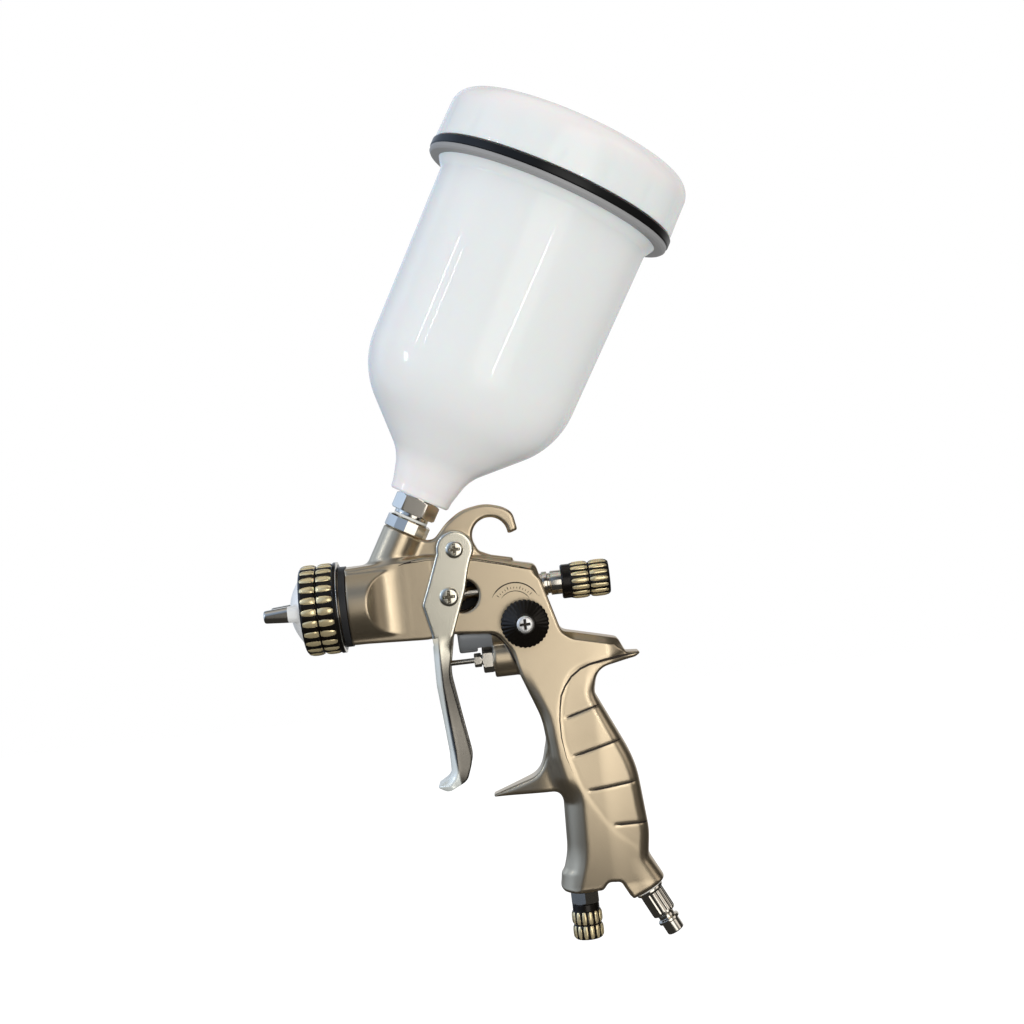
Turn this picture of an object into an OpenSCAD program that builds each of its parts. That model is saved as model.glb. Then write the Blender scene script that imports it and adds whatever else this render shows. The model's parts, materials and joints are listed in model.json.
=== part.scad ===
// HVLP gravity-feed spray gun.
// The needle axis is X with the spray outlet at the origin. The paint leaves toward -X, the cup stands on +Z.

/* [Body] */
// Width of the flat block between the trigger cheeks
block_w = 19; // [17:0.5:20]
// Width of the grip
grip_w = 24; // [22:0.5:27]
// Width of the hanging hook
hook_w = 8; // [6:0.5:10]
// Radius of the round front tube
tube_r = 16.1; // [15.9:0.1:17]
// Radius of the hanging hook's opening
hook_gap_r = 7.3; // [6.5:0.1:7.5]

/* [Air cap] */
// Outside radius of the retaining ring
ring_r = 18.7; // [18:0.1:20]
// Radius of the thread that the retaining ring turns on
ring_thread_r = 15.1; // [14.8:0.1:15.3]
// Radius of the air cap's face
cap_r = 14; // [13:0.1:14.2]
// How far the two horns stand in front of the outlet
horn_reach = 9.4; // [8:0.1:12]
// Radius of the fluid nozzle's orifice
orifice_r = 0.7; // [0.5:0.05:0.9]

/* [Cup] */
// Lean of the cup and of its inlet, from vertical
cup_lean = 30; // [25:1:32]
// Outside radius of the cup at its mouth
cup_r = 45.4; // [44:0.1:46]
// Height of the cup, from its neck to its rim
cup_h = 145; // [140:1:150]
// Wall of the cup
cup_wall = 1.7; // [1.4:0.1:2.2]
// Outside radius of the lid
lid_r = 52.6; // [52.2:0.1:53]
// Height of the lid's skirt
lid_h = 24.9; // [21:0.1:26]

/* [Trigger] */
// Width of the trigger over its two cheeks
trigger_w = 23.6; // [23.2:0.2:25]
// Width of the trigger's finger channel at its foot
trigger_foot_w = 18; // [16:0.5:20]
// Thickness of the trigger's sheet
sheet = 1.8; // [1.4:0.1:1.8]
// Largest radius of the round eye at the trigger's pivot
trigger_eye_r = 7.6; // [7:0.1:8]

/* [Controls] */
// Outside radius of the fan knob
fan_knob_r = 9.8; // [9:0.1:10.2]
// Outside radius of the fluid knob
fluid_knob_r = 7.6; // [7.2:0.1:8]
// Outside radius of the air flow knob
air_knob_r = 6.3; // [6:0.1:6.8]
// Outside radius of the air inlet plug's tip
plug_tip_r = 3.7; // [3.5:0.1:4]

/* [Hidden] */
$fn = 64;
run_gap = 0.05;
face_gap = 0.3;

champagne = [0.80, 0.74, 0.66];
nickel = [0.78, 0.77, 0.75];
bright = [0.88, 0.88, 0.89];
dark = [0.09, 0.09, 0.10];
brass = [0.78, 0.62, 0.35];
frost = [0.93, 0.94, 0.95];
seal_white = [0.90, 0.90, 0.86];

// Stations along the needle axis
ring_front = 5.5;
ring_back = 21.5;
tube_front = 24.5;
chamber_back = 22;
nozzle_back = 28.5;
paint_back = 46;
window_x = 71;
window_z = -0.7;
window_r = 6.6;
guide_back = 82;
bushing_seat = 103.6;
bushing_back = 118;
knob_front = 111.5;
knob_back = 131.5;

// Trigger pivot, pusher screws and air valve
pivot = [70, 18.4];
pusher = [65.7, -0.3];
valve_z = -28;
valve_mouth = 80.5;
valve_end = 115;
web_front = 56.3;
web_top = -20;

// Inlet for the cup: its foot on the needle axis, then stations along its leaning axis
inlet_x = 34.3;
inlet_r = 8.4;
inlet_top = 31.7;
collar_top = 37.5;
hex_foot = 40;
hex_top = 46.5;
cup_foot = 49.5;
thread_foot = 29.5;

// Cup heights, from its foot
ring_foot_h = 128.6;
ring_top_h = 134.6;
mouth_r = 49.6;

// Side controls and the foot of the grip
fan = [94.9, -14.4];
flow_x = 106.3;
flow_z = -125.9;
plug_foot = [132.4, -128];
plug_lean = 26.5;
air_z = -11.5;

// ---- Outlines: each corner is [x, z, fillet radius] ----

function unit(v) = v / norm(v);

// Arc that rounds the corner b between its neighbours a and c
function fillet(a, b, c, r, steps = 4) =
    let (u = unit(a - b))
    let (v = unit(c - b))
    let (half = acos(u * v) / 2)
    let (back = min(r / tan(half), 0.49 * min(norm(a - b), norm(c - b))))
    let (arc_r = back * tan(half))
    let (centre = b + unit(u + v) * arc_r / sin(half))
    let (from = b + u * back - centre)
    let (start = atan2(from.y, from.x))
    let (turn = (cross(u, v) < 0 ? 1 : -1) * (180 - 2 * half))
    [for (i = [0:steps]) centre + arc_r * [cos(start + turn * i / steps), sin(start + turn * i / steps)]];

function flat(corner) = [corner.x, corner.y];

// Outline through the corners, each rounded by its own radius
function rounded(corners) =
    let (n = len(corners))
    [for (i = [0:n - 1])
        let (corner = corners[i])
        let (before = flat(corners[(i + n - 1) % n]))
        let (after = flat(corners[(i + 1) % n]))
        each corner[2] == 0 ? [flat(corner)] : fillet(before, flat(corner), after, corner[2])];

// ---- Helpers ----

// Plate that stands on the X-Z plane, centred on Y
module plate(outline, w) {
    rotate([90, 0, 0])
        translate([0, 0, -w / 2])
            linear_extrude(w)
                polygon(outline);
}

// Cylinders along X and along Y
module x_rod(r, from, to, z = 0) {
    translate([from, 0, z])
        rotate([0, 90, 0])
            cylinder(r = r, h = to - from);
}

module x_cone(r_from, r_to, from, to, z = 0) {
    translate([from, 0, z])
        rotate([0, 90, 0])
            cylinder(r1 = r_from, r2 = r_to, h = to - from);
}

module x_hex(r, from, to, z = 0) {
    translate([from, 0, z])
        rotate([0, 90, 0])
            cylinder(r = r, h = to - from, $fn = 6);
}

module y_rod(r, at, from, to) {
    translate([at.x, to, at.y])
        rotate([90, 0, 0])
            cylinder(r = r, h = to - from);
}

module z_rod(r, x, from, to) {
    translate([x, 0, from])
        cylinder(r = r, h = to - from);
}

module ring(r_out, r_in, from, to) {
    difference() {
        translate([0, 0, from])
            cylinder(r = r_out, h = to - from);
        translate([0, 0, from - 1])
            cylinder(r = r_in, h = to - from + 2);
    }
}

module x_ring(r_out, r_in, from, to, z = 0) {
    translate([0, 0, z])
        rotate([0, 90, 0])
            ring(r_out, r_in, from, to);
}

// Straight drilled passage between two points of the X-Z plane
module passage(a, b, r) {
    run = b - a;
    translate([a.x, 0, a.y])
        rotate([0, atan2(run.x, run.y), 0])
            cylinder(r = r, h = norm(run));
}

// Frames of the leaning cup and of the air inlet plug: their axis becomes Z
module on_inlet() {
    translate([inlet_x, 0, 0])
        rotate([0, cup_lean, 0])
            children();
}

module on_plug() {
    translate([plug_foot.x, 0, plug_foot.y])
        rotate([0, 180 - plug_lean, 0])
            children();
}

// Round wire wound about X, starting at x = from
module coil_spring(coil_r, wire_r, from, to, turns, z = 0) {
    per_turn = 12;
    sides = 6;
    last = turns * per_turn;
    run = to - from - 2 * wire_r;
    points = [
        for (i = [0:last])
            for (j = [0:sides - 1])
                let (a = i * 360 / per_turn)
                let (b = j * 360 / sides)
                let (reach = coil_r + wire_r * cos(b))
                [from + wire_r + run * i / last + wire_r * sin(b), reach * cos(a), reach * sin(a)]
    ];
    walls = [
        for (i = [0:last - 1])
            for (j = [0:sides - 1])
                let (k = (j + 1) % sides)
                let (a = i * sides + j)
                let (b = i * sides + k)
                each [[a, a + sides, b], [b, a + sides, b + sides]]
    ];
    first_cap = [for (j = [0:sides - 1]) j];
    last_cap = [for (j = [sides - 1:-1:0]) last * sides + j];
    translate([0, 0, z])
        polyhedron(points, concat([first_cap], walls, [last_cap]));
}

// ---- Gun body ----

block_top = [[36, 15.4, 0], [58, 17, 14], [78, 14.4, 40], [101.8, 8.6, 4]];
block_back = [[104.3, -1, 6], [109.2, -19.4, 3]];
tail = [[131.6, -25.2, 2], [134.4, -31.8, 0]];
spur_root = [[134.4, -34.5, 0], [121.5, -37, 6]];
grip_back = [[118.2, -46, 5], [131.5, -78, 45], [135.6, -104, 30], [134.2, -114.5, 3]];
leg = [[139.4, -124.2, 0], [125.6, -131.2, 0]];
foot = [[121.5, -123.2, 1.5], [116.6, -122.6, 1.5], [114, -125.9, 2], [104, -125.9, 8], [96.8, -124.4, 1]];
grip_front = [[101.6, -110, 30], [102.4, -88, 20], [98.7, -70, 20], [97.2, -54, 30], [90.6, -35.6, 2]];
block_bottom = [[88.3, -25, 8], [83, -17.4, 6], [66, -15.6, 20], [55, -16.8, 20], [36, -15.3, 0]];

module block() {
    plate(rounded(concat(block_top, block_back, tail, spur_root, grip_back, leg, foot, grip_front, block_bottom)),
        block_w);
}

module grip() {
    panel_top = [[120, -40, 4]];
    panel_front = [[101.6, -110, 30], [102.4, -88, 20], [98.7, -70, 20], [97.2, -54, 30], [92.6, -40, 6]];
    panel_foot = [[128, -119, 8], [99.4, -119, 2]];
    plate(rounded(concat(panel_top, grip_back, panel_foot, panel_front)), grip_w);
}

module finger_rest() {
    plate(rounded([[74.1, -82.6, 0.4], [94, -76.4, 6], [98.9, -66, 6], [104, -66, 0], [104, -92, 0],
        [101.8, -92, 0], [101, -84.4, 5], [74.1, -84.2, 0.6]]), 13);
}

module spur() {
    plate(rounded([[124, -30, 0], [133, -31, 2], [141.2, -32.4, 0.3], [141, -33, 0.3], [124, -38, 3]]), 13);
}

module hook() {
    gap_centre = [84.8, 22.4];
    outside = [[60, 10, 0], [60.5, 22.6, 1.5], [64, 25, 3], [70, 32.8, 10], [82, 36.4, 10], [93.6, 33.2, 3.5],
        [96.4, 23.2, 0.8], [93.4, 22.4, 0.6], [91, 22.4, 0], [88, 14, 0], [88, 10, 0]];
    difference() {
        plate(rounded(outside), hook_w);
        y_rod(hook_gap_r, gap_centre, -hook_w, hook_w);
    }
}

// Round front tube, hollowed at both sides where it runs into the block
module front_tube() {
    scallop_r = 12;
    scallop_x = 42.2;
    side_y = block_w / 2 - 0.3;
    difference() {
        union() {
            x_rod(tube_r, tube_front, 47);
            x_rod(ring_thread_r, 12, tube_front + 1);
        }
        for (side = [-1, 1]) {
            translate([scallop_x, side * (side_y + scallop_r), -30])
                cylinder(r = scallop_r, h = 60);
            translate([scallop_x, side > 0 ? side_y : -side_y - 20, -30])
                cube([20, 20, 60]);
        }
    }
}

// Slot through the block where the trigger reaches the needle
// Round window on the fan knob's side, and the slot in which the pusher screws travel on both sides
module window() {
    slot_r = 3.2;
    slot_from = 64.6;
    slot_to = 69.2;
    y_rod(window_r, [window_x, window_z], -20, 4);
    for (x = [slot_from, slot_to])
        y_rod(slot_r, [x, window_z], -20, 20);
    translate([slot_from, -20, window_z - slot_r])
        cube([slot_to - slot_from, 40, 2 * slot_r]);
}

module body_bores() {
    // Needle axis: air chamber, nozzle thread, paint passage, packing, guide and spring chamber
    x_rod(12, 11, chamber_back);
    x_rod(6, 20, nozzle_back);
    x_rod(3, nozzle_back - 1, paint_back);
    x_rod(3.2, paint_back, 63);
    x_rod(2.65, 75, guide_back);
    x_rod(4.4, guide_back, 110);
    x_rod(5.2, bushing_seat, 120);
    // Paint inlet and its thread
    on_inlet() {
        cylinder(r = 4.2, h = inlet_top + 1);
        translate([0, 0, thread_foot - 0.5])
            cylinder(r = 5.6 + run_gap, h = 10);
    }
    // Spot face round the valve nut, then the valve chamber, riser, flow chamber and the way in from the plug
    x_rod(6.8, 74.5, valve_mouth, valve_z);
    x_rod(5.6, valve_mouth - 1, 92, valve_z);
    x_rod(5, 91, valve_end, valve_z);
    z_rod(3, flow_x, -104, valve_z);
    z_rod(3.4, flow_x, -140, -103);
    passage([127.5, -118.2], [flow_x, -110], 2.4);
    on_plug()
        translate([0, 0, -12])
            cylinder(r = 4.5, h = 20);
    // Air passages from the valve to the front chamber, past the fan control
    passage([87.5, valve_z], [87.5, air_z], 2.2);
    x_rod(2.2, 20, fan.x, air_z);
    y_rod(4, fan, -20, 5);
    // Trigger pivot
    y_rod(2.5, pivot, -20, 20);
    window();
}

module gun_body() {
    boss_r = 7.8;
    gallery_r = 7.6;
    gallery_z = -17;
    pivot_boss_r = 7.2;
    foot_r = 8.2;
    color(champagne)
        difference() {
            union() {
                front_tube();
                block();
                grip();
                finger_rest();
                spur();
                hook();
                y_rod(pivot_boss_r, pivot, -block_w / 2, block_w / 2);
                x_rod(boss_r, valve_mouth, 100, valve_z);
                x_rod(gallery_r, 67, 84, gallery_z);
                on_inlet()
                    translate([0, 0, 8])
                        cylinder(r = inlet_r, h = inlet_top - 8);
                on_plug()
                    translate([0, 0, -14])
                        cylinder(r = boss_r, h = 14);
                z_rod(foot_r, flow_x, flow_z, flow_z + 8);
            }
            body_bores();
        }
}

// ---- Front: nozzle, baffle, air cap and ring ----

module fluid_nozzle() {
    color(bright)
        difference() {
            union() {
                x_rod(1.6, 0.4, 4);
                x_cone(1.6, 5.4, 3.9, 13);
                x_hex(6.9, 12.9, 18);
                x_rod(6, 17.9, nozzle_back);
            }
            x_rod(orifice_r, -1, 3);
            x_cone(orifice_r, 2.6, 2, 9);
            x_rod(2.6, 8.9, nozzle_back + 1);
        }
}

module air_baffle() {
    holes = 8;
    color(nickel)
        difference() {
            x_ring(11.9, 6.05, 18.1, 21.9);
            for (i = [0:holes - 1])
                rotate([i * 360 / holes, 0, 0])
                    x_rod(1, 17, 23, 9);
        }
}

module cap_seal_ring() {
    color(dark)
        x_ring(16.5, ring_thread_r, ring_back + face_gap, tube_front);
}

// Horn with its two fan holes, standing at one side of the cap
module horn(side) {
    horn_y = 11;
    horn_deep = 8;
    fan_hole_r = 0.7;
    difference() {
        intersection() {
            translate([0, side * horn_y, 0])
                plate([[7, -3.6], [7, 3.6], [-horn_reach + 0.6, 2.8], [-horn_reach, 1.8], [-horn_reach, -1.8],
                    [-horn_reach + 0.6, -2.8]], horn_deep);
            translate([0, side * horn_y, 0])
                x_rod(horn_deep / 2 + 0.2, -20, 10);
            x_rod(cap_r, -20, 10);
        }
        for (x = [-horn_reach + 3.2, -horn_reach + 6.6])
            y_rod(fan_hole_r, [x, 0], min(side * (horn_y - 9), side * horn_y), max(side * (horn_y - 9), side * horn_y));
    }
}

module air_cap() {
    flange_r = 14.7;
    color(bright)
        difference() {
            union() {
                x_cone(6.5, cap_r - 0.2, 0, 5.2);
                x_rod(cap_r, 5.1, 8);
                x_rod(flange_r, 7.2, 10.6);
                horn(-1);
                horn(1);
            }
            x_rod(2.2, -2, 6);
            x_cone(2.2, 10.5, 5, 10.7);
            for (a = [0, 90, 180, 270])
                rotate([a, 0, 0])
                    x_rod(0.6, -2, 9, 4.4);
        }
}

module air_cap_ring() {
    bore_r = ring_thread_r + run_gap;
    lip_r = cap_r + 0.3;
    lip_back = 6.9;
    groove_x = 12.7;
    color(dark)
        rotate([0, 90, 0])
            rotate_extrude()
                polygon([[lip_r, ring_front], [17.6, ring_front], [ring_r, 7], [ring_r, groove_x - 0.6],
                    [ring_r - 0.9, groove_x], [ring_r, groove_x + 0.6], [ring_r, 20], [17.4, ring_back],
                    [bore_r, ring_back], [bore_r, lip_back], [lip_r, lip_back]]);
}

// ---- Fluid needle and its controls ----

module needle_packing() {
    color(seal_white)
        x_ring(3.2, 1.2 + run_gap, 49, 53);
}

module needle_packing_nut() {
    color(brass)
        difference() {
            union() {
                x_rod(3.2, 53, 61.4);
                x_hex(3.1, 61.3, 62.4);
            }
            x_rod(1.2 + run_gap, 52, 64);
        }
}

module fluid_needle() {
    color(bright) {
        x_cone(0.3, 1.2, 2.4, 9);
        x_rod(1.2, 9, 92);
    }
}

module needle_collar() {
    color(bright)
        x_ring(3.4, 1.2, 67.9, 72);
}

module needle_guide() {
    color(bright)
        difference() {
            union() {
                x_rod(2.6, 72, 82.6);
                x_rod(3.9, 82.5, 84.2);
            }
            x_rod(1.2, 71, 85);
        }
}

module needle_spring() {
    color(nickel)
        coil_spring(3.3, 0.45, 84.3, 99.4, 7);
}

module fluid_knob_bushing() {
    color(bright)
        difference() {
            union() {
                x_rod(4.4, 96.5, bushing_seat + 1);
                x_rod(5, bushing_seat, bushing_back);
            }
            x_rod(2.9 + run_gap, 102, bushing_back + 1);
            x_rod(4, 96, 102.1);
        }
}

module spring_pad() {
    color(brass) {
        x_rod(3.8, 99.5, 100.9);
        x_rod(2.9, 100.8, 121.2);
        x_rod(2, 121.1, 127);
    }
}

module fluid_knob() {
    wall_x = 121.3;
    color(dark)
        difference() {
            rotate([0, 90, 0])
                rotate_extrude()
                    polygon([[0, knob_front], [6.7, knob_front], [7, 111.9], [7, 115.3], [fluid_knob_r, 115.7],
                        [fluid_knob_r, 122.4], [6.9, 123], [fluid_knob_r, 123.6], [fluid_knob_r, 130.4],
                        [6.8, knob_back], [0, knob_back]]);
            x_rod(5 + run_gap, knob_front - 1, wall_x);
            x_rod(2 + run_gap, wall_x - 1, 128);
        }
}

// ---- Trigger ----

trigger_front = [[57, -15, 4], [54.3, -2.6, 3], [58, 6, 8]];
trigger_eye = [for (a = [180:-15:0]) [pivot.x + trigger_eye_r * cos(a), pivot.y + trigger_eye_r * sin(a), 0]];
trigger_back = [[74.8, 10, 10], [72.6, 1.5, 12], [65, -18, 10], [62.2, -32, 20], [67.6, -67, 12]];
trigger_toe = [[64.5, -75.5, 4], [56, -79.4, 3], [51.4, -77, 0.6], [58.3, -73, 4]];
trigger_shin = [[58.4, -63, 20], [web_front, -36, 30]];

module trigger_cut() {
    // Room between the cheeks: open to the front above the web, and to the back all the way down
    inner_w = trigger_w - 2 * sheet;
    back = 80;
    plate([[40, 40], [back + 10, 40], [back + 10, -90], [72, -90], [64, -73.6], [60.4, -71.5], [60.5, -62],
        [web_front + 2, -36], [web_front + 2, web_top], [40, web_top]], inner_w);
}

// Outline across the trigger: wide at the cheeks, narrower at the finger channel
module trigger_width() {
    half = trigger_w / 2;
    foot_half = trigger_foot_w / 2;
    translate([30, 0, 0])
        rotate([90, 0, 90])
            linear_extrude(60)
                polygon([[-half, 30], [-half, -24], [-foot_half, -52], [-foot_half, -90], [foot_half, -90],
                    [foot_half, -52], [half, -24], [half, 30]]);
}

module trigger() {
    color(nickel)
        difference() {
            intersection() {
                plate(rounded(concat(trigger_front, trigger_eye, trigger_back, trigger_toe, trigger_shin)),
                    trigger_w);
                trigger_width();
            }
            trigger_pocket();
            y_rod(2.5 + run_gap, pivot, -20, 20);
            y_rod(2, pusher, -20, 20);
        }
}

// The pocket follows the taper of the finger channel
module trigger_pocket() {
    half = trigger_w / 2 - sheet;
    foot_half = trigger_foot_w / 2 - sheet;
    intersection() {
        trigger_cut();
        translate([30, 0, 0])
            rotate([90, 0, 90])
                linear_extrude(70)
                    polygon([[-half, 41], [-half, -24], [-foot_half, -52], [-foot_half, -91], [foot_half, -91],
                        [foot_half, -52], [half, -24], [half, 41]]);
    }
}

module trigger_pin() {
    color(bright)
        difference() {
            union() {
                y_rod(2.5, pivot, -trigger_w / 2 - 0.2, trigger_w / 2 + 1.6);
                y_rod(3.6, pivot, -trigger_w / 2 - 1.6, -trigger_w / 2 - 0.1);
            }
            for (turn = [0, 90])
                translate([pivot.x, -trigger_w / 2 - 2.1, pivot.y])
                    rotate([0, turn, 0])
                        cube([4, 2.6, 0.8], center = true);
            ring_groove();
        }
}

module ring_groove() {
    translate([pivot.x, trigger_w / 2 + 0.2, pivot.y])
        rotate([-90, 0, 0])
            ring(4, 2, 0, 0.8);
}

module trigger_pin_clip() {
    color(bright)
        translate([pivot.x, trigger_w / 2 + 0.2, pivot.y])
            rotate([-90, 0, 0])
                ring(3.8, 2, 0, 0.8);
}

module needle_pusher_screws() {
    head_y = trigger_w / 2 + 1.5;
    color(bright)
        for (side = [-1, 1])
            mirror([0, side > 0 ? 1 : 0, 0])
                difference() {
                    union() {
                        y_rod(2, pusher, -trigger_w / 2 - 0.1, -2);
                        y_rod(4, pusher, -head_y, -trigger_w / 2);
                    }
                    translate([pusher.x - 5, -head_y - 1, pusher.y - 0.4])
                        cube([10, 1.6, 0.8]);
                }
}

// ---- Air valve ----

module air_valve_stem() {
    stem_front = web_front + 2 + face_gap;
    stem_r = 1.1;
    color(bright) {
        translate([stem_front + stem_r, 0, valve_z])
            sphere(r = stem_r);
        x_rod(stem_r, stem_front + stem_r, 97, valve_z);
    }
}

module valve_gland_nut() {
    color(brass)
        difference() {
            union() {
                x_hex(2.9, 72.5, 75.6, valve_z);
                x_rod(2.2, 75.5, 79, valve_z);
            }
            x_rod(1.1 + run_gap, 71, 80, valve_z);
        }
}

module stem_packing() {
    color(seal_white)
        x_ring(2.2, 1.1 + run_gap, 79, 81.5, valve_z);
}

module air_valve_nut() {
    color(bright)
        difference() {
            union() {
                x_hex(5.6, 76, valve_mouth, valve_z);
                x_rod(5.6, valve_mouth - 0.1, 90, valve_z);
            }
            x_rod(2.2, 75, 81.5, valve_z);
            x_rod(1.1 + run_gap, 81, 84.1, valve_z);
            x_rod(3.6, 84, 91, valve_z);
            translate([87.5, 0, valve_z])
                cylinder(r = 2, h = 10);
        }
}

module valve_seat() {
    color(seal_white)
        x_ring(5, 2.6, 90.1, 92.9, valve_z);
}

module valve_poppet() {
    color(brass)
        difference() {
            union() {
                x_cone(2.7, 4.2, 93.1, 94.6, valve_z);
                x_rod(4.2, 94.5, 97, valve_z);
            }
            x_rod(1.1, 92, 98, valve_z);
        }
}

module valve_spring() {
    color(nickel)
        coil_spring(3.4, 0.45, 97.1, valve_end - 0.1, 7, valve_z);
}

// ---- Fan control on the side ----

fan_face = -block_w / 2;

module fan_gland() {
    color(bright)
        difference() {
            union() {
                y_rod(4, fan, fan_face - 0.1, fan_face + 5);
                y_rod(5.4, fan, fan_face - 1.2, fan_face);
            }
            y_rod(2 + run_gap, fan, fan_face - 2, fan_face + 6);
        }
}

module fan_spindle() {
    color(brass)
        difference() {
            union() {
                y_rod(2, fan, -18.6, 0);
                y_rod(3.9, fan, -2.2, 4.8);
            }
            // Flat that opens and closes the horn air
            translate([fan.x - 5, -1, fan.y + 1.2])
                cube([10, 4, 5]);
            y_rod(1.2, fan, -20, -12);
        }
}

module fan_spindle_seal() {
    color(dark)
        translate([fan.x, fan_face + 5.1, fan.y])
            rotate([-90, 0, 0])
                ring(3.9, 2 + run_gap, 0, 1.8);
}

module fan_knob() {
    color(dark)
        difference() {
            translate([fan.x, 0, fan.y])
                rotate([90, 0, 0])
                    rotate_extrude()
                        polygon([[0, 11], [9, 11], [fan_knob_r, 11.6], [fan_knob_r, 14.4], [8.6, 15], [6.4, 18.6],
                            [4.6, 19.6], [0, 19.6]]);
            y_rod(2, fan, -18.6, -10);
            y_rod(1.2, fan, -21, -18);
        }
}

module fan_knob_screw() {
    color(bright)
        difference() {
            union() {
                y_rod(3.8, fan, -20.9, -19.6);
                y_rod(1.2, fan, -19.7, -12.4);
            }
            translate([fan.x - 2.4, -22, fan.y - 0.45])
                cube([4.8, 2, 0.9]);
            translate([fan.x - 0.45, -22, fan.y - 2.4])
                cube([0.9, 2, 4.8]);
        }
}

// ---- Air flow control and air inlet at the foot of the grip ----

module air_flow_bushing() {
    color(bright)
        difference() {
            union() {
                translate([flow_x, 0, flow_z - 5.6])
                    rotate([0, 0, 30])
                        cylinder(r = 6.4, h = 5.6, $fn = 6);
                z_rod(3.4, flow_x, flow_z - 0.1, flow_z + 9);
                z_rod(3.6, flow_x, flow_z - 9, flow_z - 5.5);
            }
            z_rod(1.8 + run_gap, flow_x, flow_z - 12, flow_z + 12);
        }
}

module air_flow_plunger() {
    color(brass) {
        z_rod(1.8, flow_x, flow_z - 18, flow_z + 14.1);
        z_rod(3.3, flow_x, flow_z + 14, flow_z + 16.6);
    }
}

module air_flow_seal() {
    color(dark)
        translate([flow_x, 0, 0])
            ring(3.4, 1.8 + run_gap, flow_z + 9, flow_z + 10.6);
}

module air_flow_knob() {
    top = flow_z - 5.7;
    color(dark)
        difference() {
            translate([flow_x, 0, 0])
                rotate_extrude()
                    polygon([[0, top], [5.6, top], [5.6, top - 2.8], [air_knob_r, top - 3.1], [air_knob_r, top - 7.8],
                        [air_knob_r - 0.6, top - 8.4], [air_knob_r, top - 9], [air_knob_r, top - 13.8],
                        [air_knob_r - 1, top - 14.5], [0, top - 14.5]]);
            z_rod(3.6 + run_gap, flow_x, top - 6.8, top + 1);
            z_rod(1.8 + run_gap, flow_x, top - 12.6, top);
        }
}

module air_inlet_washer() {
    color(seal_white)
        on_plug()
            ring(6.2, 4.5, 0, 0.8);
}

module air_inlet_plug() {
    color(bright)
        on_plug()
            difference() {
                union() {
                    translate([0, 0, -9])
                        cylinder(r = 4.5, h = 10);
                    translate([0, 0, 0.8])
                        cylinder(r = 6, h = 5, $fn = 6);
                    translate([0, 0, 5.7])
                        cylinder(r = 5, h = 7.3);
                    translate([0, 0, 12.9])
                        cylinder(r = 3.4, h = 2.2);
                    translate([0, 0, 15])
                        cylinder(r = 4.6, h = 1.6);
                    translate([0, 0, 16.5])
                        cylinder(r = plug_tip_r, h = 5);
                }
                translate([0, 0, -10])
                    cylinder(r = 2.2, h = 40);
            }
}

// ---- Cup on its leaning inlet ----

module inlet_collar() {
    color(bright)
        on_inlet()
            difference() {
                translate([0, 0, inlet_top])
                    cylinder(r = 9.2, h = collar_top - inlet_top, $fn = 12);
                cylinder(r = 5.6 + run_gap, h = 60);
            }
}

module cup_seal_washer() {
    color(seal_white)
        on_inlet()
            ring(7.2, 5.6 + run_gap, collar_top, collar_top + 0.9);
}

module cup_connector() {
    color(bright)
        on_inlet()
            difference() {
                union() {
                    translate([0, 0, thread_foot])
                        cylinder(r = 5.6, h = 10);
                    translate([0, 0, collar_top + 1])
                        cylinder(r = 7.4, h = 2);
                    translate([0, 0, hex_foot - 0.5])
                        cylinder(r = 9.4, h = hex_top - hex_foot + 0.5, $fn = 6);
                    translate([0, 0, hex_top - 0.1])
                        cylinder(r = 8, h = 15);
                }
                translate([0, 0, thread_foot - 1])
                    cylinder(r = 4, h = 40);
            }
}

module paint_filter() {
    color(seal_white)
        on_inlet()
            difference() {
                translate([0, 0, 46])
                    cylinder(r = 3.9, h = 15);
                translate([0, 0, 45])
                    cylinder(r = 3.2, h = 15.3);
                for (level = [48.5, 51.5, 54.5, 57.5])
                    for (turn = [0, 60, 120])
                        rotate([0, 0, turn])
                            translate([-5, 0, level])
                                rotate([0, 90, 0])
                                    cylinder(r = 0.8, h = 10);
            }
}

// Half outline of the cup: a flared neck, a round shoulder and a nearly straight wall
function cup_side() =
    rounded([[0, 0, 0], [12.8, 0, 0], [16, 11.9, 18], [43.8, 38.9, 36], [cup_r, 125, 3], [mouth_r, 131, 3],
        [mouth_r, cup_h, 0], [0, cup_h, 0]]);

module cup() {
    color(frost)
        on_inlet()
            translate([0, 0, cup_foot])
                difference() {
                    rotate_extrude()
                        polygon(cup_side());
                    translate([0, 0, 12])
                        rotate_extrude()
                            polygon(cup_hollow());
                    translate([0, 0, -1])
                        cylinder(r = 8, h = 20);
                    translate([0, 0, cup_h - 1])
                        cylinder(r = mouth_r - cup_wall, h = 3);
                }
}

// Half outline of the cup's inside, above its thick neck
function cup_hollow() =
    rounded([[0, 0, 0], [12.6, 0, 2], [43.8 - cup_wall, 28.2, 34], [cup_r - cup_wall, 113.4, 3],
        [mouth_r - cup_wall, 119.6, 3], [mouth_r - cup_wall, cup_h - 11.5, 0], [0, cup_h - 11.5, 0]]);

module cup_ring() {
    color(dark)
        on_inlet()
            translate([0, 0, cup_foot])
                difference() {
                    translate([0, 0, ring_foot_h])
                        cylinder(r = 53, h = ring_top_h - ring_foot_h);
                    translate([0, 0, -cup_foot])
                        cup_blank();
                }
}

// Solid of the cup's outside, that the ring is seated on
module cup_blank() {
    translate([0, 0, cup_foot])
        rotate_extrude()
            polygon(cup_side());
}

lid_foot = ring_top_h + face_gap;
lid_top = lid_foot + lid_h;

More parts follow.
